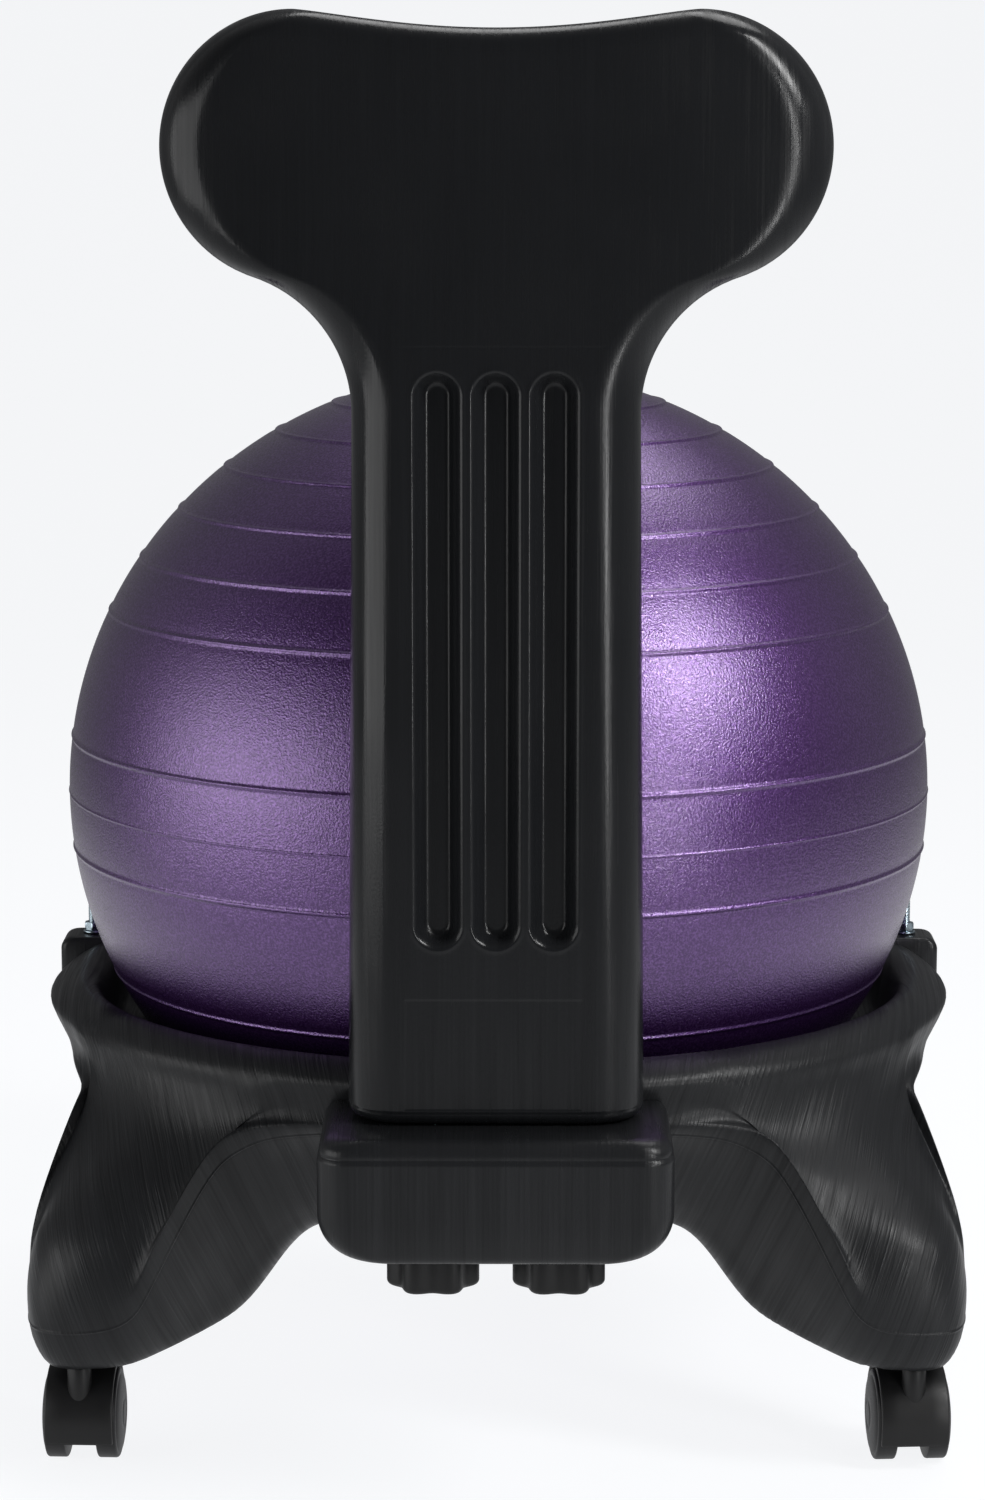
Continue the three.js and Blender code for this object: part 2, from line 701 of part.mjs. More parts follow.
function knobStud() {
  return disc(studDiameter / 2, knobTop - studInKnob, postFoot + insertLength + studPastInsert);
}

function threadInsert() {
  return tubePiece(insertRadius, studDiameter / 2 + clearance, postFoot, postFoot + insertLength);
}

function clampWasher() {
  const bottom = knobTop + clearance;
  return tubePiece(
    clampWasherRadius,
    studDiameter / 2 + clearance,
    bottom,
    bottom + clampWasherThickness,
  );
}

// The bar rises from a lug, bends forward and runs round the front of the ball to the other lug.
function retainingBar() {
  const reach = Math.hypot(barX, barSetback);
  const start = Math.asin(barSetback / reach);
  const corner = new THREE.Vector3(barX, -barSetback, ballCentreHeight - barBend);
  const along = new THREE.Vector3(-Math.sin(start), -Math.cos(start), 0);
  const points = [
    new THREE.Vector3(barX, -barSetback, lugTop - barInsertLength),
    new THREE.Vector3(barX, -barSetback, lugTop + barNutHeight + barWasherThickness),
  ];
  const bendSteps = 4;
  for (let step = 0; step <= bendSteps; step += 1) {
    const angle = step / bendSteps * Math.PI / 2;
    points.push(corner.clone()
      .addScaledVector(along, barBend * (1 - Math.cos(angle)))
      .add(new THREE.Vector3(0, 0, barBend * Math.sin(angle))));
  }
  const bent = points[points.length - 1];
  const hoop = Math.hypot(bent.x, bent.y);
  const from = Math.atan2(-bent.y, bent.x);
  const halfSteps = 6;
  for (let step = 1; step <= halfSteps; step += 1) {
    const angle = from + (Math.PI / 2 - from) * step / halfSteps;
    points.push(new THREE.Vector3(hoop * Math.cos(angle), -hoop * Math.sin(angle), ballCentreHeight));
  }
  const mirrored = points.slice(0, -1).reverse().map(({ x, y, z }) => new THREE.Vector3(-x, y, z));
  const path = new THREE.CatmullRomCurve3([...points, ...mirrored], false, 'centripetal');
  const section = new THREE.Shape().absarc(0, 0, barDiameter / 2, 0, 2 * Math.PI);
  return new THREE.ExtrudeGeometry(section, { steps: 34, curveSegments: 3, extrudePath: path });
}

function barInsert() {
  return tubePiece(barInsertRadius, barDiameter / 2 + clearance, lugTop - barInsertLength, lugTop);
}

function barWasher() {
  const bottom = lugTop + clearance;
  return tubePiece(barWasherRadius, barDiameter / 2 + clearance, bottom, bottom + barWasherThickness);
}

function barNut() {
  const bottom = lugTop + barWasherThickness + 2 * clearance;
  const circumradius = barNutAcrossFlats / Math.sqrt(3);
  const hexagon = new THREE.Shape([0, 1, 2, 3, 4, 5].map((corner) => new THREE.Vector2(
    circumradius * Math.cos(corner * Math.PI / 3),
    circumradius * Math.sin(corner * Math.PI / 3),
  )));
  hexagon.holes.push(new THREE.Path().absarc(0, 0, barDiameter / 2 + clearance, 0, 2 * Math.PI, true));
  const geometry = new THREE.ExtrudeGeometry(hexagon, {
    depth: barNutHeight, bevelEnabled: false, curveSegments: 6,
  });
  return geometry.translate(0, 0, bottom);
}

function casterSocket() {
  const bore = stemDiameter / 2 + clearance;
  const roof = footHeight + socketLength - socketFlangeThickness;
  return revolve([
    [0, roof], [bore, roof], [bore, footHeight],
    [socketFlangeRadius, footHeight],
    [socketFlangeRadius, footHeight + socketFlangeThickness],
    [socketRadius, footHeight + socketFlangeThickness],
    [socketRadius, footHeight + socketLength], [0, footHeight + socketLength],
  ]);
}

// The stem stands in the hood's boss and turns in the socket; its collar takes the load.
function casterStem() {
  const radius = stemDiameter / 2;
  const bossTop = wheelRadius + bossRise;
  const collarBottom = bossTop + clearance;
  const collarTop = collarBottom + stemCollarHeight;
  return revolve([
    [0, bossTop - stemLowerLength], [radius, bossTop - stemLowerLength],
    [radius, collarBottom], [stemCollarRadius, collarBottom],
    [stemCollarRadius, collarTop], [radius, collarTop],
    [radius, collarTop + stemUpperLength - stemTip],
    [radius - stemTip, collarTop + stemUpperLength], [0, collarTop + stemUpperLength],
  ]);
}

// An outline round the axle between two angles, solid to the axle or a band of one thickness.
function hoodOutline(from, to, thickness) {
  const shape = new THREE.Shape();
  const start = radians(from);
  const end = radians(to);
  shape.absarc(0, 0, hoodOuterRadius, start, end);
  if (thickness > 0) shape.absarc(0, 0, hoodOuterRadius - thickness, end, start, true);
  return shape;
}

// Extrudes an outline drawn in Y (to the stem) and Z across the caster's width, about the axle.
function acrossCaster(shape, halfWidth) {
  const geometry = new THREE.ExtrudeGeometry(shape, {
    depth: 2 * halfWidth, bevelEnabled: false, curveSegments: 6,
  });
  return geometry.rotateX(Math.PI / 2).rotateZ(Math.PI / 2).translate(-halfWidth, 0, 0);
}

const pedalPivot = new THREE.Vector2(-pedalPivotOut, pedalPivotUp);

// An ear that carries the lock pedal's pin, standing on the hood.
function pedalEar(side) {
  const base = pedalPivot.clone().setLength(hoodOuterRadius - earRootDepth / 2);
  const sideways = new THREE.Vector2(-base.y, base.x).setLength(earRadius);
  const tilt = Math.atan2(sideways.y, sideways.x);
  const shape = new THREE.Shape();
  shape.moveTo(base.x - sideways.x, base.y - sideways.y);
  shape.absarc(pedalPivot.x, pedalPivot.y, earRadius, tilt - Math.PI, tilt);
  shape.lineTo(base.x + sideways.x, base.y + sideways.y);
  const inner = pedalWidth / 2 + clearance;
  return acrossCaster(shape, earThickness / 2).translate(side * (inner + earThickness / 2), 0, 0);
}

// Hood: a fender over both wheels, the web between them, and the boss for the stem.
function casterHood(locking) {
  const fenderHalf = wheelGap / 2 + wheelWidth - wheelEdge;
  const webHalf = wheelGap / 2 - 2 * clearance;
  const fender = acrossCaster(hoodOutline(hoodFrontAngle, hoodBackAngle, hoodThickness), fenderHalf);
  const web = acrossCaster(hoodOutline(hoodFrontAngle, hoodWebAngle, 0), webHalf);
  const boss = revolve([
    [0, bossRise - bossLength - bossRadius / 2], [bossRadius / 2, bossRise - bossLength - bossRadius / 3],
    [bossRadius, bossRise - bossLength + bossRadius / 2], [bossRadius, bossRise], [0, bossRise],
  ]).translate(0, trail, 0);
  const stemBore = disc(
    stemDiameter / 2 + clearance,
    bossRise - stemLowerLength - clearance,
    bossRise + overrun,
  ).translate(0, trail, 0);
  const axleBore = crosswise(disc(axleDiameter / 2 + clearance, -webHalf - overrun, webHalf + overrun));
  const body = join(fender, web, boss);
  if (!locking) return cut(body, stemBore, axleBore);
  const pinHalf = pedalWidth / 2 + earThickness + overrun;
  const pinBore = crosswise(disc(pedalPinDiameter / 2 + clearance, -pinHalf, pinHalf, pinSegments))
    .translate(0, pedalPivot.x, pedalPivot.y);
  return cut(join(body, pedalEar(1), pedalEar(-1)), stemBore, axleBore, pinBore);
}

// Turns a piece whose axis is Z so that its axis is X.
function crosswise(geometry) {
  return geometry.rotateY(Math.PI / 2);
}

function lockPedal() {
  const shape = new THREE.Shape();
  const tip = new THREE.Vector2(-pedalLength, -pedalDrop);
  const normal = new THREE.Vector2(-tip.y, tip.x).setLength(pedalThickness / 2);
  const foot = Math.atan2(normal.y, normal.x);
  shape.absarc(0, 0, pedalHubRadius, foot, foot + Math.PI);
  shape.absarc(tip.x, tip.y, pedalThickness / 2, foot + Math.PI, foot + 2 * Math.PI);
  const body = acrossCaster(shape, pedalWidth / 2);
  const half = pedalWidth / 2 + overrun;
  return cut(body, crosswise(disc(pedalPinDiameter / 2 + clearance, -half, half, pinSegments)));
}

function pedalPin() {
  const half = pedalWidth / 2 + clearance + earThickness;
  return crosswise(disc(pedalPinDiameter / 2, -half, half, pinSegments));
}

function casterAxle() {
  const half = wheelGap / 2 + axleEndDepth;
  return crosswise(disc(axleDiameter / 2, -half, half));
}

// A wheel with a facet at its lowest point, its domed disc outwards and a blind bore inwards.
function wheel(side) {
  const rim = wheelRadius / Math.cos(Math.PI / wheelFacets);
  const inner = wheelGap / 2;
  const outer = inner + wheelWidth;
  const bore = axleDiameter / 2 + clearance;
  const boreEnd = inner + axleEndDepth + clearance;
  const geometry = crosswise(revolve([
    [0, boreEnd], [bore, boreEnd], [bore, inner], [rim, inner], [rim, outer - wheelEdge],
    [rim - wheelEdge, outer], [rim / 2, outer + wheelDome * wheelDomeShare],
    [0, outer + wheelDome],
  ], wheelFacets));
  return side > 0 ? geometry : geometry.scale(-1, 1, 1);
}

const chair = new THREE.Group();

function finish(colour, roughness, metalness = 0) {
  return new THREE.MeshStandardMaterial({ color: colour, roughness, metalness });
}

const blackMoulding = () => finish(0x1c1c1e, 0.55);
const blackNylon = () => finish(0x161617, 0.45);
const purpleVinyl = () => finish(0x55386f, 0.42);
const zincSteel = () => finish(0xb9c0c6, 0.35, 0.9);
const brass = () => finish(0xb59a58, 0.4, 0.9);

function addMesh(parent, name, geometry, material) {
  const mesh = new THREE.Mesh(weld(geometry), material);
  mesh.geometry.computeVertexNormals();
  mesh.name = name;
  parent.add(mesh);
  return mesh;
}

function addCaster(name, x, y, turn, locking) {
  const leg = new THREE.Group();
  leg.position.set(x * footSpread, y * footSpread, 0);
  chair.add(leg);
  addMesh(leg, `caster_socket_${name}`, casterSocket(), blackNylon());
  const swivel = new THREE.Group();
  swivel.rotation.z = radians(turn);
  leg.add(swivel);
  addMesh(swivel, `caster_stem_${name}`, casterStem(), zincSteel());
  const fork = new THREE.Group();
  fork.position.set(0, -trail, wheelRadius);
  swivel.add(fork);
  addMesh(fork, `caster_hood_${name}`, casterHood(locking), blackNylon());
  addMesh(fork, `caster_axle_${name}`, casterAxle(), zincSteel());
  [['left', 1], ['right', -1]].forEach(([hand, side]) => {
    const turned = addMesh(fork, `wheel_${name}_${hand}`, wheel(side), blackNylon());
    turned.rotation.x = Math.PI / wheelFacets;
  });
  if (!locking) return;
  const pedal = addMesh(fork, `lock_pedal_${name}`, lockPedal(), blackNylon());
  const pin = addMesh(fork, `pedal_pin_${name}`, pedalPin(), zincSteel());
  [pedal, pin].forEach((mesh) => mesh.position.set(0, pedalPivot.x, pedalPivot.y));
}

function addClamp(hand, side) {
  const clamp = new THREE.Group();
  clamp.position.set(side * knobSpacing / 2, clampY, 0);
  chair.add(clamp);
  addMesh(clamp, `knob_${hand}`, knob(), blackNylon());
  addMesh(clamp, `knob_stud_${hand}`, knobStud(), zincSteel());
  addMesh(clamp, `knob_washer_${hand}`, clampWasher(), zincSteel());
  addMesh(clamp, `thread_insert_${hand}`, threadInsert(), brass());
}

function addBarEnd(hand, side) {
  const end = new THREE.Group();
  end.position.set(side * barX, -barSetback, 0);
  chair.add(end);
  addMesh(end, `bar_insert_${hand}`, barInsert(), brass());
  addMesh(end, `bar_washer_${hand}`, barWasher(), zincSteel());
  addMesh(end, `bar_nut_${hand}`, barNut(), zincSteel());
}

addMesh(chair, 'base_shell', baseShell(), blackMoulding());
const ballPlace = new THREE.Group();
ballPlace.position.z = ballCentreHeight;
chair.add(ballPlace);
addMesh(ballPlace, 'ball', ball(), purpleVinyl());
addMesh(ballPlace, 'valve_plug', valvePlug(), finish(0xd8d4cc, 0.5));
addMesh(chair, 'backrest', backrest(), blackMoulding());
addMesh(chair, 'retaining_bar', retainingBar(), zincSteel());
[['left', 1], ['right', -1]].forEach(([hand, side]) => {
  addClamp(hand, side);
  addBarEnd(hand, side);
});
addCaster('rear_left', 1, 1, rearLeftTurn, false);
addCaster('rear_right', -1, 1, rearRightTurn, false);
addCaster('front_left', 1, -1, frontLeftTurn, true);
addCaster('front_right', -1, -1, frontRightTurn, true);

// The part's origin is on the floor under the middle of its footprint.
chair.updateMatrixWorld(true);
const reach = new THREE.Box3().setFromObject(chair, true);
chair.position.set(-(reach.min.x + reach.max.x) / 2, -(reach.min.y + reach.max.y) / 2, -reach.min.z);

export default chair;
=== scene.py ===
"""Balance ball chair, seen from behind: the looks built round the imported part.

Lengths inside the shape functions are millimetres in the ball's own frame (its axis at x = y = 0,
the floor at z = 0, the backrest at +y). One function at the end of each shape turns them to metres
and moves them to the part's frame.
"""
import json
import math

import bpy
import numpy as np
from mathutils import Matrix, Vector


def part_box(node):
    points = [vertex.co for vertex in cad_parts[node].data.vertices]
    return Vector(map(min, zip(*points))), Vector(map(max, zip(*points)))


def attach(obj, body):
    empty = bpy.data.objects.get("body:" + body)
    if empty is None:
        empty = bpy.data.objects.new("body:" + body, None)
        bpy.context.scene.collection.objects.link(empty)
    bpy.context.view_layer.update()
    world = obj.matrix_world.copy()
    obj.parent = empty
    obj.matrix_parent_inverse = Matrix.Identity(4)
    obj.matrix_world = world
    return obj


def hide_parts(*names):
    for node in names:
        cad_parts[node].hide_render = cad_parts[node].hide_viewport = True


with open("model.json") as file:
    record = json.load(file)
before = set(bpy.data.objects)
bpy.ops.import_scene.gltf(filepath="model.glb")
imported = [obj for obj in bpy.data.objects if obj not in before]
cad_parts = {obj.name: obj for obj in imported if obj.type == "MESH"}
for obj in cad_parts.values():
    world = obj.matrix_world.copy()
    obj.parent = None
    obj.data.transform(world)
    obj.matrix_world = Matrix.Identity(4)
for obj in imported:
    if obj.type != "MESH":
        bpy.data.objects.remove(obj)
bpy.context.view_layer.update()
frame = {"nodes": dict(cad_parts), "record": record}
ball_low, ball_high = (np.array(corner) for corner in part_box("ball"))
BALL_AXIS = np.array([0.0, (ball_low[1] + ball_high[1]) / 2, 0.0])  # metres

# Sizes of the real object in millimetres, as the part has them.
BALL_RADIUS, BALL_HALF_HEIGHT, BALL_CENTRE = 255.0, 246.075, 346.62
RIM, FOOT_UNDERSIDE, CREST = 268.3, 61.0, 234.5
FOOT_OUT, FOOT_HALF = 58.4, 28.5  # a caster's distance beyond the rim, and half a foot
FOOT_SPREAD = (RIM + FOOT_OUT) / math.sqrt(2)
FOOT_REACH = RIM + FOOT_OUT + FOOT_HALF
BLOCK_TOP, BLOCK_BOTTOM, BLOCK_HALF, BLOCK_REAR = 214.5, 147.0, 94.0, 343.3
POST_FRONT, POST_REAR, POST_FOOT = 270.3, 310.3, 214.8
LOBE_OFFSET, LOBE_RADIUS, LOBE_HEIGHT, BACK_TOP = 104.6, 70.2, 726.3, 796.5
BAR_X, BAR_SETBACK = 252.0, 80.0
KNOB_X, CLAMP_Y = 33.7, 290.3
LUG_TOP = CREST + 3.3
WHEEL_RADIUS, CASTER_OFFSET = 25.0, 19.0
PEDAL_PIN = np.array([-24.0, 25.0])  # behind and above the axle


# ---- helpers

def linear(code):
    """An sRGB hex colour as linear RGBA: below 0.04045 divided by 12.92, above it a 2.4 power."""
    parts = np.array([int(code[i:i + 2], 16) for i in (1, 3, 5)]) / 255
    parts = np.where(parts <= 0.04045, parts / 12.92, ((parts + 0.055) / 1.055) ** 2.4)
    return (*parts, 1.0)


def smooth(low, high, value):
    """0 below low, 1 above high, and 3t^2 - 2t^3 between them."""
    t = np.clip((value - low) / (high - low), 0, 1)
    return t * t * (3 - 2 * t)


def outwards(points, faces):
    """The faces turned so that the volume they enclose is positive, which points them outwards."""
    a, b, c, d = (np.asarray(points)[np.asarray(faces)[:, k]] for k in range(4))
    volume = np.sum(a * np.cross(b, c)) + np.sum(a * np.cross(c, d))
    return faces[:, ::-1] if volume < 0 else faces


def placed(name, data):
    """A new object with this data, linked to the scene."""
    made = bpy.data.objects.new(name, data)
    bpy.context.scene.collection.objects.link(made)
    return made


def mesh_piece(name, points, faces, body, replaced, slot, material=None):
    """Makes an object from points in millimetres, in the ball's frame, and lets it ride on a body.

    Points at one place become one vertex, and a quad that this leaves with two corners at one
    place becomes a triangle, so seams and poles are closed. Its material is its slot's, unless
    another is given.
    """
    faces = outwards(points, faces)
    places, index = np.unique(np.round(points, 4), axis=0, return_inverse=True)
    faces = index.reshape(-1)[np.asarray(faces)]
    keep = faces != np.roll(faces, -1, axis=1)
    count = keep.sum(1)
    keep, faces, count = keep[count > 2], faces[count > 2], count[count > 2]
    mesh = bpy.data.meshes.new(name)
    mesh.vertices.add(len(places))
    mesh.vertices.foreach_set("co", (places * 0.001 + BALL_AXIS).ravel())
    mesh.loops.add(int(count.sum()))
    mesh.loops.foreach_set("vertex_index", faces[keep])
    mesh.polygons.add(len(faces))
    mesh.polygons.foreach_set("loop_start", np.concatenate([[0], np.cumsum(count)[:-1]]))
    mesh.polygons.foreach_set("use_smooth", np.ones(len(faces), bool))
    mesh.update(calc_edges=True)
    mesh.materials.append(material or finish_of[slot])
    piece = placed(name, mesh)
    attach(piece, body)
    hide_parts(*replaced)


def grid_faces(rows, columns, round_rows=False, round_columns=True):
    """Quads of a grid whose rows and columns may close on themselves."""
    r = np.arange(rows if round_rows else rows - 1)
    c = np.arange(columns if round_columns else columns - 1)
    r, c = np.meshgrid(r, c, indexing="ij")
    below, beside = (r + 1) % rows, (c + 1) % columns
    at = lambda i, j: i * columns + j
    return np.stack([at(r, c), at(r, beside), at(below, beside), at(below, c)], -1).reshape(-1, 4)


def end_strip(first, count, turn):
    """Closes one end row of points by a strip of quads across it; turn reverses their direction."""
    k = np.arange(count // 2 - 1)
    quads = np.stack([first + k, first + count - 1 - k, first + count - 2 - k, first + k + 1], -1)
    return quads[:, ::-1] if turn else quads


def revolve(profile, columns):
    """Turns a profile of (radius, height) points once round the Z axis; rows run along the profile."""
    profile = np.asarray(profile, float)
    angle = np.arange(columns) / columns * 2 * np.pi
    x = profile[:, :1] * np.cos(angle)
    y = profile[:, :1] * np.sin(angle)
    z = np.repeat(profile[:, 1:], columns, 1)
    return np.stack([x, y, z], -1).reshape(-1, 3), grid_faces(len(profile), columns)


def spline(points, t, closed=False):
    """Centripetal Catmull-Rom curve through points (..., n, 3), at places t from 0 to 1."""
    count = points.shape[-2]
    spans = count if closed else count - 1
    place = np.clip(np.asarray(t, float), 0, 1) * spans
    i = np.minimum(place.astype(int), spans - 1)
    w = (place - i)[:, None]
    if closed:
        p0, p1, p2, p3 = (points[..., (i + k) % count, :] for k in (-1, 0, 1, 2))
    else:
        p1, p2 = points[..., i, :], points[..., i + 1, :]
        p0 = np.where((i > 0)[:, None], points[..., np.maximum(i - 1, 0), :], 2 * p1 - p2)
        p3 = np.where((i < count - 2)[:, None],
                      points[..., np.minimum(i + 2, count - 1), :], 2 * p2 - p1)
    gap = lambda a, b: np.sqrt(np.linalg.norm(b - a, axis=-1, keepdims=True)) + 1e-9
    d0, d1, d2 = gap(p0, p1), gap(p1, p2), gap(p2, p3)
    t1 = ((p1 - p0) / d0 - (p2 - p0) / (d0 + d1) + (p2 - p1) / d1) * d1
    t2 = ((p2 - p1) / d1 - (p3 - p1) / (d1 + d2) + (p3 - p2) / d2) * d1
    return (p1 * (2 * w**3 - 3 * w**2 + 1) + t1 * (w**3 - 2 * w**2 + w)
            + p2 * (3 * w**2 - 2 * w**3) + t2 * (w**3 - w**2))


def carried(path, radius, sides):
    """A round section carried along a path, square to it; a fixed vector sets where it begins."""
    path = np.asarray(path, float)
    along = np.gradient(path, axis=0)
    along /= np.linalg.norm(along, axis=1, keepdims=True)
    radius = np.broadcast_to(np.asarray(radius, float), (len(path),))[:, None, None]
    fixed = np.array([0.37, 0.21, 0.9])  # no stretch of the bar runs this way
    side = np.cross(along, fixed)
    side /= np.linalg.norm(side, axis=1, keepdims=True)
    other = np.cross(along, side)
    angle = np.arange(sides) / sides * 2 * np.pi
    cosine, sine = np.cos(angle)[None, :, None], np.sin(angle)[None, :, None]
    ring = cosine * side[:, None] + sine * other[:, None]
    points = (path[:, None] + radius * ring).reshape(-1, 3)
    last = (len(path) - 1) * sides
    faces = np.vstack([grid_faces(len(path), sides), end_strip(0, sides, False),
                       end_strip(last, sides, True)])
    return points, faces


def joined(*shapes):
    """Several (points, faces) shapes as one, each with its own points."""
    points, faces, start = [], [], 0
    for shape_points, shape_faces in shapes:
        points.append(np.asarray(shape_points, float))
        faces.append(outwards(shape_points, np.asarray(shape_faces)) + start)
        start += len(shape_points)
    return np.vstack(points), np.vstack(faces)


def turned(points, degrees, centre):
    """Points turned about a vertical axis and moved to a centre."""
    a = math.radians(degrees)
    x, y, z = np.asarray(points, float).T
    return np.stack([x * math.cos(a) - y * math.sin(a) + centre[0],
                     x * math.sin(a) + y * math.cos(a) + centre[1], z + centre[2]], 1)


# ---- materials

def add(tree, kind, inputs=None, **settings):
    """Adds a shader node, sets its properties, and sets or links its inputs by name or number."""
    made = tree.nodes.new("ShaderNode" + kind)
    for name, value in settings.items():
        setattr(made, name, value)
    for name, value in (inputs or {}).items():
        if isinstance(value, bpy.types.NodeSocket):
            tree.links.new(value, made.inputs[name])
        else:
            made.inputs[name].default_value = value
    return made


def new_material(name, **fixed):
    """A material with one Principled shader whose fixed sockets are set by name."""
    material = bpy.data.materials.new(name)
    material.use_nodes = True
    tree = material.node_tree
    shader = tree.nodes["Principled BSDF"]
    for socket, value in fixed.items():
        shader.inputs[socket.replace("_", " ")].default_value = value
    return material, tree, shader


def wire(tree, shader, **sources):
    """Links outputs to the shader's inputs, in whose names _ stands for a space."""
    for socket, output in sources.items():
        tree.links.new(output, shader.inputs[socket.replace("_", " ")])


def moulded_polyethylene(name, folded, lean, dark, light, rough, relief):
    """Blow-moulded black polyethylene: satin, with the draw streaks of the parison and an orange peel.

    The eye gets a dark satin that catches light in soft bands and breaks it into fine streaks.
    A streak is noise over a coordinate that stays the same along it, x - lean z (|x| where the
    moulding is mirrored), and changes slowly over y - z. Fine streaks are 1.3 mm wide, broad
    ones 7 mm, and both are some fifty times as long. Where a streak is pale it is glossier.
    """
    material, tree, shader = new_material(name, IOR=1.5, Specular_IOR_Level=0.3)
    source = add(tree, "TexCoord").outputs["Object"]
    axes = add(tree, "SeparateXYZ", {"Vector": source})
    sideways = axes.outputs["X"]
    if folded:
        sideways = add(tree, "Math", {0: sideways}, operation="ABSOLUTE").outputs[0]
    across = add(tree, "Math", {0: axes.outputs["Z"], 1: -lean, 2: sideways}, operation="MULTIPLY_ADD")
    along = add(tree, "Math", {0: axes.outputs["Y"], 1: axes.outputs["Z"]}, operation="SUBTRACT")
    slow = add(tree, "Math", {0: along.outputs[0], 1: 0.018}, operation="MULTIPLY")
    side = add(tree, "Math", {0: axes.outputs["X"], 1: 0.06}, operation="MULTIPLY")
    place = add(tree, "CombineXYZ", {"X": across.outputs[0], "Y": slow.outputs[0],
        "Z": side.outputs[0]})
    fine = add(tree, "TexNoise", {"Vector": place.outputs[0], "Scale": 750.0, "Detail": 3.0})
    broad = add(tree, "TexNoise", {"Vector": place.outputs[0], "Scale": 140.0, "Detail": 2.0})
    streaks = add(tree, "Mix", {"Factor": 0.45, 2: fine.outputs["Fac"], 3: broad.outputs["Fac"]})
    # Patches 80 mm wide that are duller or glossier, and a 1.5 mm orange peel.
    clouds = add(tree, "TexNoise", {"Vector": source, "Scale": 13.0, "Detail": 4.0})
    peel = add(tree, "TexNoise", {"Vector": source, "Scale": 650.0, "Detail": 2.0})
    tone = add(tree, "MapRange", {"Value": streaks.outputs[0], "From Min": 0.36, "From Max": 0.66})
    colour = add(tree, "Mix", {"Factor": tone.outputs[0], 6: linear(dark), 7: linear(light)},
                 data_type="RGBA")
    patches = add(tree, "MapRange", {"Value": clouds.outputs["Fac"], "From Min": 0.3,
        "From Max": 0.7, "To Min": rough - 0.05, "To Max": rough + 0.07})
    dulled = add(tree, "Math", {0: tone.outputs[0], 1: -0.2, 2: patches.outputs[0]},
                 operation="MULTIPLY_ADD")
    skin = add(tree, "Bump", {"Height": peel.outputs["Fac"], "Strength": 0.12, "Distance": 0.0004})
    drawn = add(tree, "Bump", {"Height": streaks.outputs[0], "Strength": relief,
        "Distance": 0.0008, "Normal": skin.outputs[0]})
    wire(tree, shader, Base_Color=colour.outputs[2], Roughness=dulled.outputs[0],
         Normal=drawn.outputs[0])
    return material


def grained_vinyl():
    """Pearl-pigmented PVC of an exercise ball: purple pigment that mirrors, under a clear skin.

    The eye gets deep purple away from the lamps and a pale lilac sheen towards them. The
    leather-like grain is noise at 1.2 mm, which breaks the studio light into speckles.
    """
    material, tree, shader = new_material("grained_purple_vinyl", Metallic=0.88, Coat_Weight=1.0,
                                          Coat_Roughness=0.18, Coat_IOR=1.7)
    source = add(tree, "TexCoord").outputs["Object"]
    grain = add(tree, "TexNoise", {"Vector": source,
        "Scale": 820.0, "Detail": 2.0, "Roughness": 0.6})
    clouds = add(tree, "TexNoise", {"Vector": source,
        "Scale": 6.0, "Detail": 2.0})  # 170 mm patches where the wall is thicker
    tone = add(tree, "MapRange", {"Value": clouds.outputs["Fac"], "From Min": 0.3, "From Max": 0.7})
    deep = add(tree, "Mix", {"Factor": tone.outputs[0],
        6: linear("#471e64"), 7: linear("#4e246c")}, data_type="RGBA")
    speck = add(tree, "MapRange", {"Value": grain.outputs["Fac"], "From Min": 0.42, "From Max": 0.7})
    colour = add(tree, "Mix", {"Factor": speck.outputs[0],
        6: deep.outputs[2], 7: linear("#774f98")}, data_type="RGBA")
    rough = add(tree, "MapRange", {"Value": grain.outputs["Fac"],
        "From Min": 0.3, "From Max": 0.7, "To Min": 0.42, "To Max": 0.32})
    bump = add(tree, "Bump", {"Height": grain.outputs["Fac"], "Strength": 0.62, "Distance": 0.0006})
    wire(tree, shader, Base_Color=colour.outputs[2], Roughness=rough.outputs[0],
         Normal=bump.outputs[0], Coat_Normal=bump.outputs[0])
    return material


def fine_texture(tree, shader, height, glossiest, dullest, strength, distance):
    """A noise that moves the roughness between two values and tilts the surface a little."""
    rough = add(tree, "MapRange", {"Value": height, "From Min": 0.3, "From Max": 0.7,
        "To Min": glossiest, "To Max": dullest})
    bump = add(tree, "Bump", {"Height": height, "Strength": strength, "Distance": distance})
    wire(tree, shader, Roughness=rough.outputs[0], Normal=bump.outputs[0])


def injection_nylon(name, base):
    """Injection-moulded glass-filled nylon: near black, spark-eroded fine texture, even satin."""
    material, tree, shader = new_material(name, IOR=1.53, Specular_IOR_Level=0.35)
    shader.inputs["Base Color"].default_value = linear(base)
    source = add(tree, "TexCoord").outputs["Object"]
    spark = add(tree, "TexNoise", {"Vector": source,
        "Scale": 1500.0, "Detail": 2.0})  # 0.7 mm spark texture
    fine_texture(tree, shader, spark.outputs["Fac"], 0.38, 0.5, 0.12, 0.0003)
    return material


def plated_metal(name, base, glossiest, dullest):
    """Plated or turned metal, with fine scratches in its roughness and, fainter, in its surface."""
    material, tree, shader = new_material(name, Metallic=1.0)
    shader.inputs["Base Color"].default_value = linear(base)
    source = add(tree, "TexCoord").outputs["Object"]
    place = add(tree, "Mapping", {"Vector": source, "Scale": (1.0, 1.0, 6.0)})
    scratches = add(tree, "TexNoise", {"Vector": place.outputs["Vector"],
        "Scale": 350.0, "Detail": 4.0})  # 3 mm long, 0.5 mm wide drawing marks
    fine_texture(tree, shader, scratches.outputs["Fac"], glossiest, dullest, 0.08, 0.0002)
    return material


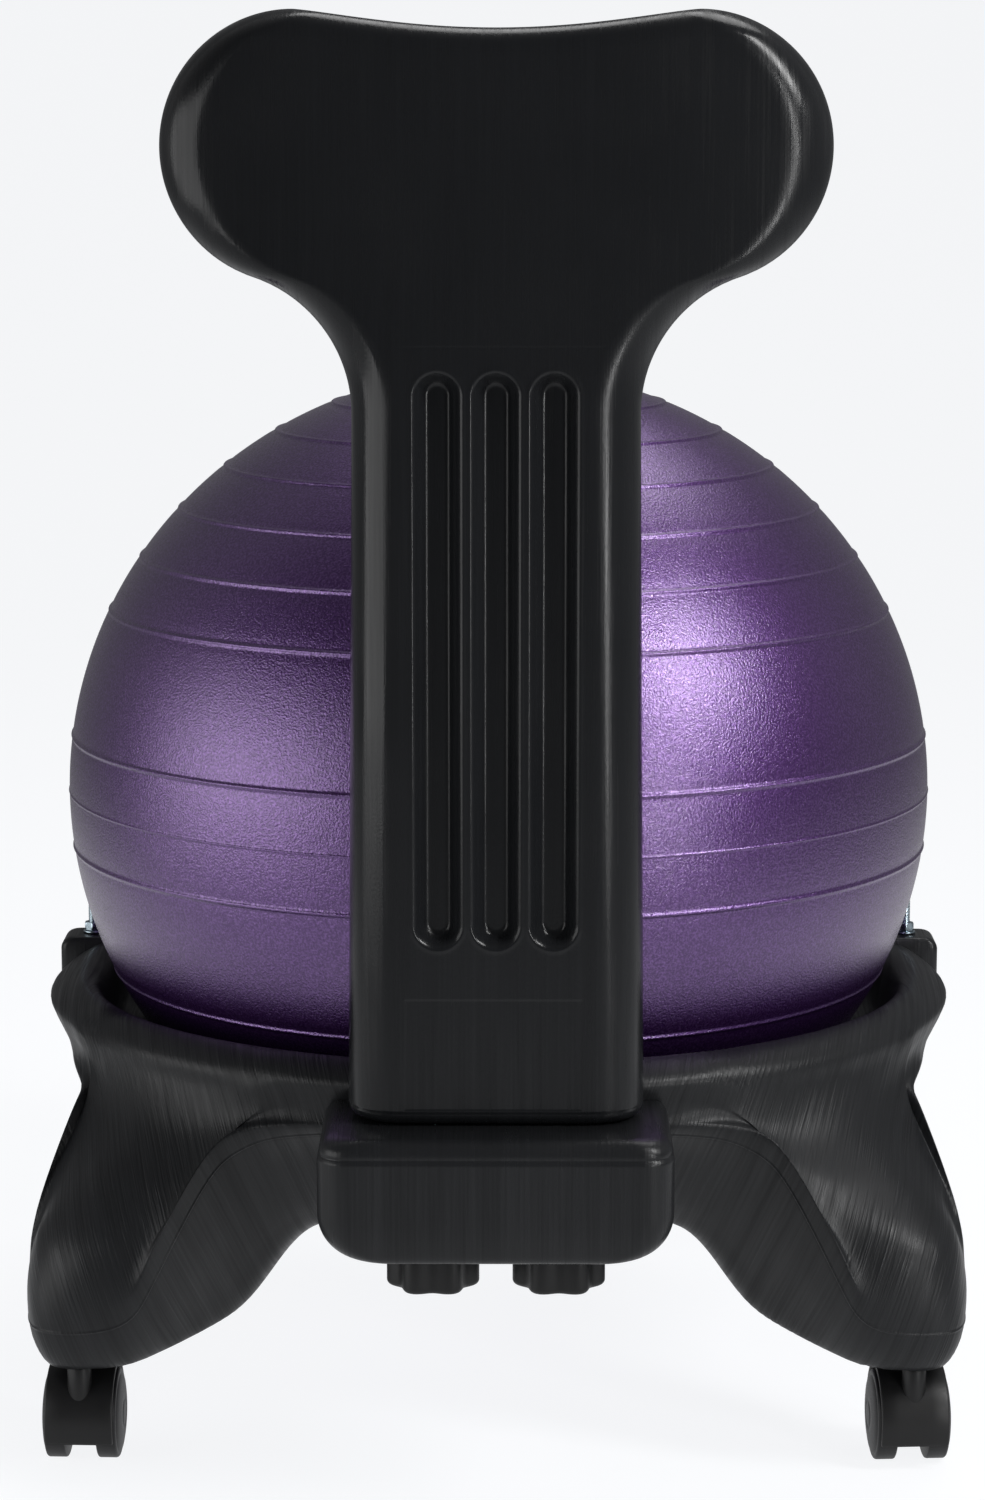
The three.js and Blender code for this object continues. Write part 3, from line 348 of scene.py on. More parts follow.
def soft_plug():
    """Injection-moulded soft PVC, off-white, slightly dusty."""
    material, tree, shader = new_material("soft_white_pvc", IOR=1.5, Roughness=0.5)
    source = add(tree, "TexCoord").outputs["Object"]
    dust = add(tree, "TexNoise", {"Vector": source, "Scale": 300.0})
    colour = add(tree, "Mix", {"Factor": dust.outputs["Fac"],
        6: linear("#d9d5cc"), 7: linear("#c9c4b8")}, data_type="RGBA")
    wire(tree, shader, Base_Color=colour.outputs[2])
    return material


# The backrest shows faint hairlines up it; the base's streaks run down from the rim over its legs.
back_hdpe = moulded_polyethylene("blown_black_hdpe_backrest", False, 0.0, "#18191b", "#1f2022",
                                 0.3, 0.12)
base_hdpe = moulded_polyethylene("blown_black_hdpe_base", True, 0.35, "#18191b", "#252628", 0.5, 0.9)
block_hdpe = moulded_polyethylene("blown_black_hdpe_block", False, 0.0, "#18191b", "#242527",
                                  0.42, 0.3)
finish_of = {
    "black_hdpe": base_hdpe, "purple_vinyl": grained_vinyl(),
    "black_nylon": injection_nylon("black_glass_filled_nylon", "#161617"),
    "wheel_nylon": injection_nylon("black_wheel_nylon", "#18181a"),
    "zinc_steel": plated_metal("bright_zinc_steel", "#b4c3cc", 0.2, 0.36),
    "brass": plated_metal("turned_brass", "#b8974f", 0.25, 0.4), "white_plug": soft_plug()}


# ---- ball

def ball_profile(steps):
    """Ellipse from top to valve with a rounded bead at each rib and a hair line at the middle.

    Radius and height are (255 + h) cos and (246 + h) sin of the latitude. h is a raised cosine
    0.8 mm high and 3.7 mm wide at each rib, and 0.45 mm high at the parting line. The ribs that
    the seat has pressed flat are 0.2 mm high. A shallow groove runs on each side of a rib.
    """
    ribs = np.array([7.7, *(25.7 + 8.36 * k for k in range(6))])  # degrees from the middle
    ribs = np.concatenate([ribs, -ribs])
    bead_half, seat_edge = 0.42, -30  # degrees
    tall_rib, flat_rib, groove, parting = 0.8, 0.2, 0.15, 0.45  # mm
    base = np.linspace(90, -88.9, steps)
    close = np.concatenate([rib + np.linspace(-0.62, 0.62, 11) for rib in [*ribs, 0.0]])
    latitude = np.unique(np.concatenate([base, close]))[::-1]
    rise = np.zeros_like(latitude)
    for rib in ribs:
        away = np.abs(latitude - rib)
        tall = flat_rib if rib < seat_edge else tall_rib
        rise += np.where(away < bead_half, tall * (1 + np.cos(np.pi * away / bead_half)) / 2, 0)
        rise -= groove * np.exp(-((away - 0.6) / 0.25) ** 2)
    middle = np.abs(latitude) / 0.2
    rise += np.where(middle < 1, parting * (1 + np.cos(np.pi * middle)) / 2, 0)
    a = np.radians(latitude)
    outline = np.stack([(BALL_RADIUS + rise) * np.cos(a), (BALL_HALF_HEIGHT + rise) * np.sin(a)], 1)
    outline[0] = (0, BALL_HALF_HEIGHT)
    hole = np.array([[4.5, 0], [4.5, 9], [0, 9]]) - [0, BALL_HALF_HEIGHT]  # the valve's
    return np.vstack([outline, hole]) + [0, BALL_CENTRE]


def ball_skin():
    """The ball's profile turned round its axis."""
    points, faces = revolve(ball_profile(190), 240)
    mesh_piece("ball_skin", points, faces, "ball", ["ball"], "purple_vinyl")


# ---- base moulding

# A quarter of the ring holds a leg. A rail is given over half a quarter, from the arch's middle (0)
# to the leg's (1), at these shares on the rim. RIDGE and UNDERSIDE have [share round, out, up];
# OUTER_WALL has how far a rail leans from the rim's stations to the ridge's, and [share out, up].
STATIONS = np.array([0, 0.36, 0.48, 0.58, 0.72, 0.83, 0.92, 1])
RIDGE = [[0, 0.93, 0.79], [0.58, 1.012, 0.782], [0.68, 1.08, 0.757], [0.735, 1.22, 0.712],
         [0.8, 1.62, 0.37], [0.836, 1.71, 0.22], [0.918, 1.89, 0.19], [1, 2, 0.185]]
OUTER_WALL = [
    (0.1, [[0.995, 0.905], [0.994, 0.903], [0.994, 0.9], [0.995, 0.895], [1, 0.88],
           [1, 0.875], [1, 0.873], [1, 0.873]]),
    (0.35, [[0.981, 0.862], [0.983, 0.86], [0.985, 0.856], [0.992, 0.84], [1.04, 0.77],
            [1.08, 0.745], [1.12, 0.74], [1.135, 0.74]]),
    (0.65, [[0.96, 0.824], [0.983, 0.828], [0.99, 0.82], [1.01, 0.795], [1.25, 0.635],
            [1.39, 0.575], [1.47, 0.57], [1.52, 0.575]]),
    (0.85, [[0.945, 0.804], [0.992, 0.803], [1.005, 0.79], [1.06, 0.755], [1.46, 0.505],
            [1.6, 0.41], [1.81, 0.395], [1.88, 0.395]]),
]
UNDERSIDE = [
    [[0, 0.905, 0.72], [0.61, 0.935, 0.66], [0.71, 0.955, 0.57], [0.765, 0.985, 0.46],
     [0.81, 1.38, 0.213], [0.847, 1.62, 0.11], [0.922, 1.855, 0.07], [1, 1.975, 0.07]],
    [[0, 0.828, 0.46], [0.645, 0.828, 0.438], [0.75, 0.86, 0.35], [0.805, 0.923, 0.213],
     [0.83, 1.17, 0.104], [0.867, 1.46, 0.03], [0.931, 1.73, -0.012], [1, 1.85, -0.012]],
    [[0, 0.765, 0.403], [0.665, 0.772, 0.37], [0.77, 0.815, 0.265], [0.822, 0.885, 0.115],
     [0.84, 1.01, 0.063], [0.886, 1.3, 0.012], [0.942, 1.42, -0.023], [1, 1.5, -0.023]],
    [[0, 0.7, 0.4], [0.67, 0.705, 0.375], [0.8, 0.725, 0.29], [0.878, 0.772, 0.16],
     [0.922, 0.825, 0.104], [0.955, 0.89, 0.07], [0.982, 0.945, 0.045], [1, 0.965, 0.035]],
    [[0, 0.664, 0.455], [0.68, 0.664, 0.45], [0.83, 0.67, 0.4], [0.9, 0.695, 0.3],
     [0.944, 0.74, 0.21], [0.97, 0.775, 0.17], [0.99, 0.805, 0.15], [1, 0.815, 0.145]],
    [[0, 0.656, 0.515], [0.68, 0.656, 0.51], [0.83, 0.656, 0.49], [0.9, 0.664, 0.45],
     [0.944, 0.685, 0.39], [0.97, 0.705, 0.35], [0.99, 0.715, 0.33], [1, 0.72, 0.325]],
]


SECTION_POINTS = 1088  # of a section's closed curve, over its 18 rails
FLASH_POINT = 448  # 0.4 of the way from the ridge's rail to the underside's first


def outward(share):
    """Radius of a share: 1 is the rim's bulge and 2 the end of a foot."""
    return np.where(share <= 1, share * RIM, RIM + (share - 1) * (FOOT_REACH - RIM))


def upward(share):
    """Height of a share: 0 is the feet's underside and 1 the rim's crest."""
    return FOOT_UNDERSIDE + share * (CREST - FOOT_UNDERSIDE)


def base_rails():
    """All rails of the base as an array (rail, station, [share round, radius, height])."""
    seat_radius, half_band, seat_gap = 0.746 * RIM, 3.5, 0.9

    def circle(out_share, up_share):
        return np.stack([STATIONS, np.full(8, outward(out_share)), np.full(8, upward(up_share))], 1)

    def seat(radius):
        under = BALL_CENTRE - BALL_HALF_HEIGHT * math.sqrt(1 - (radius / BALL_RADIUS) ** 2)
        return np.stack([STATIONS, np.full(8, radius), np.full(8, under - seat_gap)], 1)

    def free(path):
        round_share, out_share, up_share = np.array(path, float).T
        return np.stack([round_share, outward(out_share), upward(up_share)], 1)

    ridge = free(RIDGE)
    walls = []
    for lean, path in OUTER_WALL:
        out_share, up_share = np.array(path, float).T
        walls.append(np.stack([STATIONS + lean * (ridge[:, 0] - STATIONS),
                               outward(out_share), upward(up_share)], 1))
    return np.stack([circle(0.905, 0.985), circle(0.943, 1), circle(1, 0.94), *walls, ridge,
                     *(free(path) for path in UNDERSIDE), circle(0.676, 0.56),
                     seat(seat_radius - half_band), seat(seat_radius + half_band),
                     circle(0.845, 0.84)])


def ring_sections():
    """The closed section at each place round the ring, as rows of finely spaced points.

    Each rail is a curve over half a sector, mirrored about the arch's middle and the leg's. At each
    place the rails' points are joined by a closed centripetal curve of SECTION_POINTS points.
    """
    rails = base_rails()
    rails[..., 0] *= math.pi / 4 * RIM
    first, last = rails[:, 1].copy(), rails[:, -2].copy()
    first[:, 0] *= -1
    last[:, 0] = 2 * math.pi / 4 * RIM - last[:, 0]
    rails = np.concatenate([first[:, None], rails, last[:, None]], 1)
    share = np.concatenate([(1 + span + np.arange(steps) / steps) / 9
                            for span, steps in enumerate([12, 6, 6, 6, 6, 6, 6])] + [[8 / 9]])
    angle, radius, height = np.moveaxis(spline(rails, share), -1, 0)
    angle = angle / RIM
    turns = []
    for leg in range(4):
        start = leg * math.pi / 2
        turns.append((start + angle[:, :-1], radius[:, :-1], height[:, :-1]))
        turns.append((start + math.pi / 2 - angle[:, :0:-1], radius[:, :0:-1], height[:, :0:-1]))
    a, r, h = (np.concatenate([turn[k] for turn in turns], 1) for k in range(3))
    sections = np.stack([r * np.cos(a), r * np.sin(a), h], -1).transpose(1, 0, 2)
    return spline(sections, np.arange(SECTION_POINTS) / SECTION_POINTS, closed=True)


def surface_normals(points):
    """Unit normals of a grid that closes both ways; on the base's sections they point inwards."""
    along = np.roll(points, -1, 0) - np.roll(points, 1, 0)
    across = np.roll(points, -1, 1) - np.roll(points, 1, 1)
    normal = np.cross(along, across)
    return normal / np.linalg.norm(normal, axis=2, keepdims=True)


def base_ring():
    """The ring, its legs and feet, with the mould's thin flash line 5 to 16 mm below their ridge.

    Every section is spaced anew by its own length, close together round the flash line and evenly
    elsewhere. The flash stands out by 0.4 exp(-(d / 0.5)^2) - 0.12 exp(-((d - 1.3) / 0.5)^2) mm,
    where d is the distance from the line. Neighbouring sections are averaged 1-2-1 six times, which
    evens the skin over 8 mm. The feet are cut flat underneath.
    """
    averages, margin, even_steps = 6, 4, 124
    dense = ring_sections()
    for _ in range(averages):
        dense = (np.roll(dense, 1, 0) + 2 * dense + np.roll(dense, -1, 0)) / 4
    dense = np.concatenate([dense, dense[:, :1]], 1)
    length = np.cumsum(np.linalg.norm(np.diff(dense, axis=1), axis=2), 1)
    length = np.hstack([np.zeros((len(dense), 1)), length])
    near = np.array([0, 0.25, 0.5, 0.75, 1.05, 1.4, 1.9, 2.6])
    offset = np.concatenate([near, margin + np.linspace(0, 1, even_steps), -near[:0:-1]])
    rows = []
    for row, total in zip(dense, length):
        whole = total[-1]
        place = np.where(offset < 0, whole + offset, offset)
        spread = slice(len(near), len(near) + even_steps)
        place[spread] = margin + (offset[spread] - margin) * (whole - 2 * margin)
        start = total[FLASH_POINT]
        rows.append([np.interp((place + start) % whole, total, row[:, k]) for k in range(3)])
    points = np.array(rows).transpose(0, 2, 1)
    away = np.abs(offset)
    away[(offset >= margin) & (offset <= margin + 1)] = 9  # far enough for no flash
    flash = 0.4 * np.exp(-(away / 0.5) ** 2) - 0.12 * np.exp(-((away - 1.3) / 0.5) ** 2)
    points = points - surface_normals(points) * flash[:, None]
    points[..., 2] = np.maximum(points[..., 2], FOOT_UNDERSIDE + 0.2)
    faces = grid_faces(*points.shape[:2], round_rows=True)
    mesh_piece("base_ring", points.reshape(-1, 3), faces, "base", ["base_shell"], "black_hdpe")


def cushion_rows(z, half, front, rear, corner_x, corner_y, columns=(14, 40, 14, 20)):
    """Rounded rectangles stacked up Z, each with a half width, a front, a rear and corner sizes.

    Corners are quarter ellipses; the loop runs along the rear from +x to -x and back along the front.
    """
    corner, flat, front_corner, front_flat = columns
    z, half, front, rear, corner_x, corner_y = np.broadcast_arrays(
        *(np.asarray(v, float) for v in (z, half, front, rear, corner_x, corner_y)))
    corner_x, corner_y = np.minimum(corner_x, half / 2), np.minimum(corner_y, (rear - front) / 2)
    a = np.linspace(0, np.pi / 2, corner + 1)
    x_corner = half[:, None] - corner_x[:, None] * (1 - np.cos(a))
    y_rear = rear[:, None] - corner_y[:, None] * (1 - np.sin(a))
    y_front = front[:, None] + corner_y[:, None] * (1 - np.sin(a))
    s = np.linspace(1, -1, flat + 2)[1:-1]
    x_flat = (half - corner_x)[:, None] * s
    y_flat = rear[:, None] + 0 * s
    rear_x = np.hstack([x_corner, x_flat, -x_corner[:, ::-1]])
    rear_y = np.hstack([y_rear, y_flat, y_rear[:, ::-1]])
    front_x = np.hstack([-x_corner, -x_flat, x_corner[:, ::-1]])
    front_y = np.hstack([y_front, front[:, None] + 0 * s, y_front[:, ::-1]])
    x, y = np.hstack([rear_x, front_x]), np.hstack([rear_y, front_y])
    return np.stack([x, y, z[:, None] + 0 * x], -1)


def stacked(points):
    """A stack of loops as one closed shape, with both end loops closed by strips."""
    rows, count = points.shape[:2]
    faces = np.vstack([grid_faces(rows, count), end_strip(0, count, False),
                       end_strip((rows - 1) * count, count, True)])
    return points.reshape(-1, 3), faces


def quarter(start, size, steps, rising=True):
    """Heights and insets, from the bottom up, of a quarter circle at a lower or an upper edge."""
    a = np.linspace(0, np.pi / 2, steps)
    return (start + size * (1 - np.cos(a)), size * (1 - np.sin(a))) if rising else (
        start + size * np.sin(a), size * (1 - np.cos(a)))


def rear_block():
    """The block behind the rim: rounded lower corners, a moulding seam near its top."""
    low_corner, high_corner, front, corner, seam_height = 26, 9, 236, 17, 203.5
    low_z, low_in = quarter(BLOCK_BOTTOM, low_corner, 18)
    high_z, high_in = quarter(BLOCK_TOP - high_corner, high_corner, 12, rising=False)
    mid_z = np.linspace(low_z[-1], high_z[0], 62)[1:-1]
    z = np.concatenate([low_z, mid_z, high_z])
    inset = np.concatenate([low_in, 0 * mid_z, high_in])
    rear_in = np.concatenate([9 * (low_in / low_corner) ** 1.5, 0 * mid_z, high_in])
    seam = 0.5 * np.exp(-((z - seam_height) / 0.9) ** 2)
    lip = 0.9 * smooth(seam_height, seam_height + 1, z)
    half = BLOCK_HALF - inset - seam - lip
    rear = BLOCK_REAR - rear_in - seam - lip
    shape, faces = stacked(cushion_rows(z, half, front, rear, corner, corner))
    mesh_piece("rear_block", shape, faces, "base", ["base_shell"], "black_hdpe", block_hdpe)


def bar_lugs():
    """A lug each side of the rim with a rounded outer top edge; the bar's insert stands inside."""
    half, inner, outer, height, edge, corner = 17, 236.8, 270.8, 36, 7, 4
    z, inset = quarter(LUG_TOP - edge, edge, 10, rising=False)
    z = np.concatenate([[LUG_TOP - height], z])
    inset = np.concatenate([[0], inset])
    rows = cushion_rows(z, half - 0.4 * inset, inner, outer - inset, corner, corner, (6, 8, 6, 8))
    shape, faces = stacked(rows)
    x, y, up = shape.T
    shape, faces = joined(*((np.stack([side * y, side * -x - BAR_SETBACK, up], 1), faces)
                            for side in (1, -1)))
    mesh_piece("bar_lugs", shape, faces, "base", ["base_shell"], "black_hdpe", block_hdpe)


# ---- backrest

def back_outline(z):
    """Half width at a height: straight post, concave neck arc, then the lobe's circle."""
    neck_radius, half_foot, half_neck = 74, 79, 75.5
    neck_x = half_neck + neck_radius
    rise = math.sqrt((neck_radius + LOBE_RADIUS) ** 2 - (neck_x - LOBE_OFFSET) ** 2)
    neck_z = LOBE_HEIGHT - rise
    meet = neck_z + neck_radius * rise / (neck_radius + LOBE_RADIUS)
    post = half_foot - (half_foot - half_neck) * np.clip((z - POST_FOOT) / (neck_z - POST_FOOT), 0, 1)
    neck = neck_x - np.sqrt(np.clip(neck_radius**2 - (z - neck_z) ** 2, 0, None))
    lobe = LOBE_OFFSET + np.sqrt(np.clip(LOBE_RADIUS**2 - (z - LOBE_HEIGHT) ** 2, 0, None))
    return np.where(z < neck_z, post, np.where(z < meet, neck, lobe)), neck_z


def soft_ramp(t, ease):
    """0 below 0 and 1 above 1, straight between, with both bends rounded over +-ease."""
    area = lambda v: np.where(v < 0, 0, np.where(v < 1, v * v / 2, v - 0.5))
    return (area(t + ease) - area(t - ease)) / (2 * ease)


def pressed_grooves(x, z):
    """Depth of the three pressed grooves: a capsule's distance turned into floor, wall and lip.

    The floor is 9 mm deep and 13.2 mm wide, the wall rises over 5.2 mm, and the lip beside it
    stands out by 0.4 exp(-((d - 13.1) / 1.3)^2) mm at a distance d from the groove's middle line.
    """
    depth = np.zeros_like(x)
    pitch, low_end, high_end, end_radius = 30.3, 312, 611, 11
    for middle in (-pitch, 0.0, pitch):
        away = np.hypot(x - middle, z - np.clip(z, low_end + end_radius, high_end - end_radius))
        wall = soft_ramp((away - 6.6) / 5.2, 0.42)
        depth += 9 * (1 - wall) - 0.4 * np.exp(-((away - 13.1) / 1.3) ** 2)
    return depth


def fine_marks(x, z):
    """Depth of the bare label recess, the pinch line above the foot and the seam at the neck."""
    between_sides = smooth(-45.5, -44.7, x) - smooth(47.3, 48.1, x)
    between_ends = smooth(223, 223.8, z) - smooth(282.6, 283.4, z)
    pinch = 0.35 * np.exp(-((z - 221.4) / 0.7) ** 2)
    neck = 0.18 * np.exp(-((z - 625) / 0.5) ** 2) * smooth(-60, -54, x) * (1 - smooth(46, 50, x))
    return 0.35 * between_sides * between_ends + pinch + neck


def backrest():
    """Loops stacked up the backrest, warped at the top for the two lobes and forward at the wings.

    The head's outer ends stand 12 mm forward, and its top dips by 9.5 mm between the lobes. The
    thickness runs from the post's 40 mm to the head's 32 mm and rounds off over the top 15 mm. The
    rear corners are quarter ellipses 27 mm wide, the front ones 10 mm. Rows lie close where a
    groove ends or a fine mark crosses, and further apart between.
    """
    post_thick, thinner, top_round = 40, 8, 15
    foot_z, foot_in = quarter(POST_FOOT, 7, 12)
    _, neck_z = back_outline(np.array([300.0]))
    top_z = BACK_TOP - top_round * (1 - np.sin(np.linspace(0, np.pi / 2, 24)))
    spans = [(222.2, 227, 0.5), (228, 281, 4), (282, 285, 0.4), (286, 305, 3), (306, 330, 0.8),
             (331, 593, 5), (594, 618, 0.8), (619, 631, 0.5), (632, 780, 2.4)]
    middle = np.concatenate([np.arange(*span) for span in spans])
    z = np.concatenate([foot_z, middle, top_z[:-1]])
    inset = np.concatenate([foot_in, 0 * middle, 0 * top_z[:-1]])
    half, _ = back_outline(z)
    head = np.clip((z - neck_z) / (BACK_TOP - neck_z), 0, 1)
    into_head = smooth(0, 0.5, head)
    from_top = np.clip((BACK_TOP - z) / top_round, 0, 1)
    rounded = np.maximum(0.12, np.sqrt(1 - (1 - from_top) ** 2))
    thick = (post_thick - thinner * into_head) * rounded - 2 * inset
    centre = (POST_FRONT + POST_REAR) / 2
    rear, front = centre + thick / 2, centre - thick / 2
    split = rear - 0.8 * thick  # the rear corners take this much of the thickness
    half = half - inset
    corner = np.linspace(0, np.pi / 2, 15)
    flat = np.linspace(1, -1, 122)[1:-1]

    def side(width, face):
        width = np.minimum(width, half / 2)[:, None]
        x = half[:, None] - width * (1 - np.cos(corner))
        y = split[:, None] + (face - split)[:, None] * np.sin(corner)
        return (np.hstack([x, (half[:, None] - width) * flat, -x[:, ::-1]]),
                np.hstack([y, face[:, None] + 0 * flat, y[:, ::-1]]))

    rear_x, rear_y = side(27.0, rear)
    front_x, front_y = side(10.0, front)
    height = z[:, None] + 0 * rear_x
    rear_y = rear_y - pressed_grooves(rear_x, height) - fine_marks(rear_x, height)
    x = np.hstack([rear_x, front_x[:, -2:0:-1]])
    y = np.hstack([rear_y, front_y[:, -2:0:-1]])
    y = y - 12 * into_head[:, None] * (x / (LOBE_OFFSET + LOBE_RADIUS)) ** 2
    lobes = smooth(0.65, 1, head)[:, None]
    toward = np.clip(np.abs(x) / LOBE_OFFSET, 0, 1)
    up = z[:, None] - 9.5 * lobes * (1 - toward**2) ** 1.3
    shape, faces = stacked(np.stack([x, y, up], -1))
    mesh_piece("backrest_moulding", shape, faces, "backrest", ["backrest"], "black_hdpe", back_hdpe)


# ---- clamp, bar and casters

def clamp_knob(hand, side):
    """Star knob: r = 24.8 - 2.2 (1 - cos 6a), rounded edges, and a hub that meets the washer."""
    washer, hub, thick = 2.1, 2, 20
    top = BLOCK_BOTTOM - washer - hub
    bottom = top - thick
    angle = np.arange(144) / 144 * 2 * np.pi
    outline = 24.8 - 2.2 * (1 - np.cos(6 * angle))
    edge = [(3.0 * (1 - math.sin(a)), 3.0 * (1 - math.cos(a))) for a in np.linspace(0, np.pi / 2, 8)]
    profile = [(bottom + 1.4, 19.4), (bottom + 1.4, 13.5), (bottom + 1.0, 12.9), (bottom, 12.3),
               (bottom, 6.0)]
    profile += [(bottom + rise, shrink) for shrink, rise in edge]
    profile += [(top - rise, shrink) for shrink, rise in edge[::-1]]
    profile += [(top, 9.0), (top, 12.6), (top + 0.3, 12.8), (top + 2, 12.8), (top + 2, 20.3)]
    rows = []
    for z, shrink in profile:
        radius = outline - shrink
        inner = np.clip((shrink - 4) / 4, 0, 1)
        radius = (1 - inner) * radius + inner * (24.8 - shrink)
        rows.append(np.stack([radius * np.cos(angle), radius * np.sin(angle), z + 0 * angle], 1))
    shape, faces = stacked(np.array(rows))
    mesh_piece(f"star_knob_{hand}", shape + [side * KNOB_X, CLAMP_Y, 0], faces, f"knob_{hand}",
               [f"knob_{hand}"], "black_nylon")


def retaining_bar():
    """Round bar along its bent path, with a rolled 1 mm thread over the ends that pass the nuts."""
    start = math.asin(BAR_SETBACK / math.hypot(BAR_X, BAR_SETBACK))
    bar_radius, thread_depth, bend_radius, thread_top = 3.0, 0.3, 30, CREST + 25
    threaded = np.arange(LUG_TOP - 28, thread_top, 0.25)
    plain = np.linspace(thread_top + 0.25, BALL_CENTRE - bend_radius, 24)
    straight = np.concatenate([threaded, plain])
    a = np.linspace(0, np.pi / 2, 24)[1:]
    along = np.array([-math.sin(start), -math.cos(start)])
    bend = np.stack([BAR_X + along[0] * bend_radius * (1 - np.cos(a)),
                     -BAR_SETBACK + along[1] * bend_radius * (1 - np.cos(a)),
                     BALL_CENTRE - bend_radius + bend_radius * np.sin(a)], 1)
    upright = np.stack([0 * straight + BAR_X, 0 * straight - BAR_SETBACK, straight], 1)
    hoop = math.hypot(*bend[-1, :2])
    begin = math.atan2(-bend[-1, 1], bend[-1, 0])
    turn = np.linspace(begin, np.pi - begin, 120)[1:-1]
    front = np.stack([hoop * np.cos(turn), -hoop * np.sin(turn), 0 * turn + BALL_CENTRE], 1)
    left = np.vstack([upright, bend])
    path = np.vstack([left, front, (left * [-1, 1, 1])[::-1]])
    thread = (path[:, 2] < thread_top) & (np.abs(path[:, 1] + BAR_SETBACK) < 0.01)
    radius = bar_radius - thread_depth * thread * (0.5 + 0.5 * np.sin(2 * np.pi * path[:, 2]))
    shape, faces = carried(path, radius, 20)
    mesh_piece("retaining_bar_rod", shape, faces, "base", ["retaining_bar"], "zinc_steel")


def hexagon_nut(across, bore, low, high):
    """Hexagon nut: across / 2 / cos of the angle from a flat's middle, with a cone at each end."""
    angle = np.arange(96) / 96 * 2 * np.pi
    from_flat = (angle + np.pi / 6) % (np.pi / 3) - np.pi / 6
    half = across / 2
    flats = half / np.cos(from_flat)
    rows = []
    for z, limit in [(low, bore), (low, half), (low + 0.2, half + 0.35), (low + 0.45, across),
                     (high - 0.45, across), (high - 0.2, half + 0.35), (high, half), (high, bore),
                     (low, bore)]:
        radius = np.minimum(flats, limit)
        rows.append(np.stack([radius * np.cos(angle), radius * np.sin(angle), z + 0 * angle], 1))
    rows = np.array(rows)
    return rows.reshape(-1, 3), grid_faces(*rows.shape[:2])


def lock_pedal_shape():
    """The pedal's outline in Y and Z: a hub round the pin, tapering to a lip that a toe presses."""
    hub_radius, lip_radius, length = 3.6, 1.5, 22.47
    along = np.array([-21, -8]) / math.hypot(21, 8)
    lift = np.array([-along[1], along[0]])
    lift = lift if lift[1] > 0 else -lift
    hub = np.linspace(np.pi / 2, 3 * np.pi / 2, 16)
    tip = np.linspace(-np.pi / 2, np.pi / 2, 10)
    outline = np.vstack([
        np.outer(np.cos(hub), along) * hub_radius + np.outer(np.sin(hub), lift) * hub_radius,
        along * length + np.outer(np.cos(tip), along) * lip_radius
        + np.outer(np.sin(tip), lift) * lip_radius])
    centre = outline.mean(0)
    away = outline - centre
    reach = np.linalg.norm(away, axis=1, keepdims=True)
    rows = []
    for x, shrink in [(-6.5, 0.6), (-6.3, 0.25), (-5.9, 0), (5.9, 0), (6.3, 0.25), (6.5, 0.6)]:
        ring = centre + away * (reach - shrink) / reach
        rows.append(np.stack([x + 0 * ring[:, 0], ring[:, 0], ring[:, 1]], 1))
    return fan_closed(np.array(rows))


def fan_closed(rows):
    """Rows of points as one closed shape, with a fan at each end to the middle of its row."""
    count = rows.shape[1]
    ends = [np.repeat(middle[None], count, 0)[None] for middle in (rows[0].mean(0), rows[-1].mean(0))]
    points = np.concatenate([ends[0], rows, ends[1]])
    return points.reshape(-1, 3), grid_faces(len(points), count)


# The side (+x, +y) of the base that each caster stands at, and its turn in degrees.
CASTERS = {"rear_left": (1, 1, -2), "rear_right": (-1, 1, 4),
           "front_left": (1, -1, 171), "front_right": (-1, -1, -176)}


def wheel_shape(side):
    """One wheel about the X axis: rounded tread, then an outer disc with a step, a dish and a hub."""
    profile = [(0, 17.6), (3.5, 17.6), (3.5, 8.7), (12, 8.7), (24.2, 8.7), (24.75, 9.0), (25, 9.7),
               (25, 14.0), (25, 18.5), (24.8, 19.2), (24.3, 19.75), (23.6, 20.0), (22.6, 20.15),
               (22.2, 20.0), (21.8, 20.2), (20.5, 20.9), (17, 21.55), (12, 22.05), (8.2, 22.25),
               (7.8, 22.0), (7.2, 22.0), (6.8, 22.3), (3, 22.4), (0, 22.4)]
    points, faces = revolve(profile, 80)
    x, y, z = points.T
    return np.stack([side * z, y, x], 1), faces


def arc_band(section, low, high, count):
    """A closed section of (across, radius) points carried round the axle between two angles."""
    a = np.radians(np.linspace(low, high, count))[:, None]
    across, radius = np.array(section, float).T
    rows = np.stack([0 * a + across, radius * np.cos(a), radius * np.sin(a)], -1)
    return fan_closed(rows)


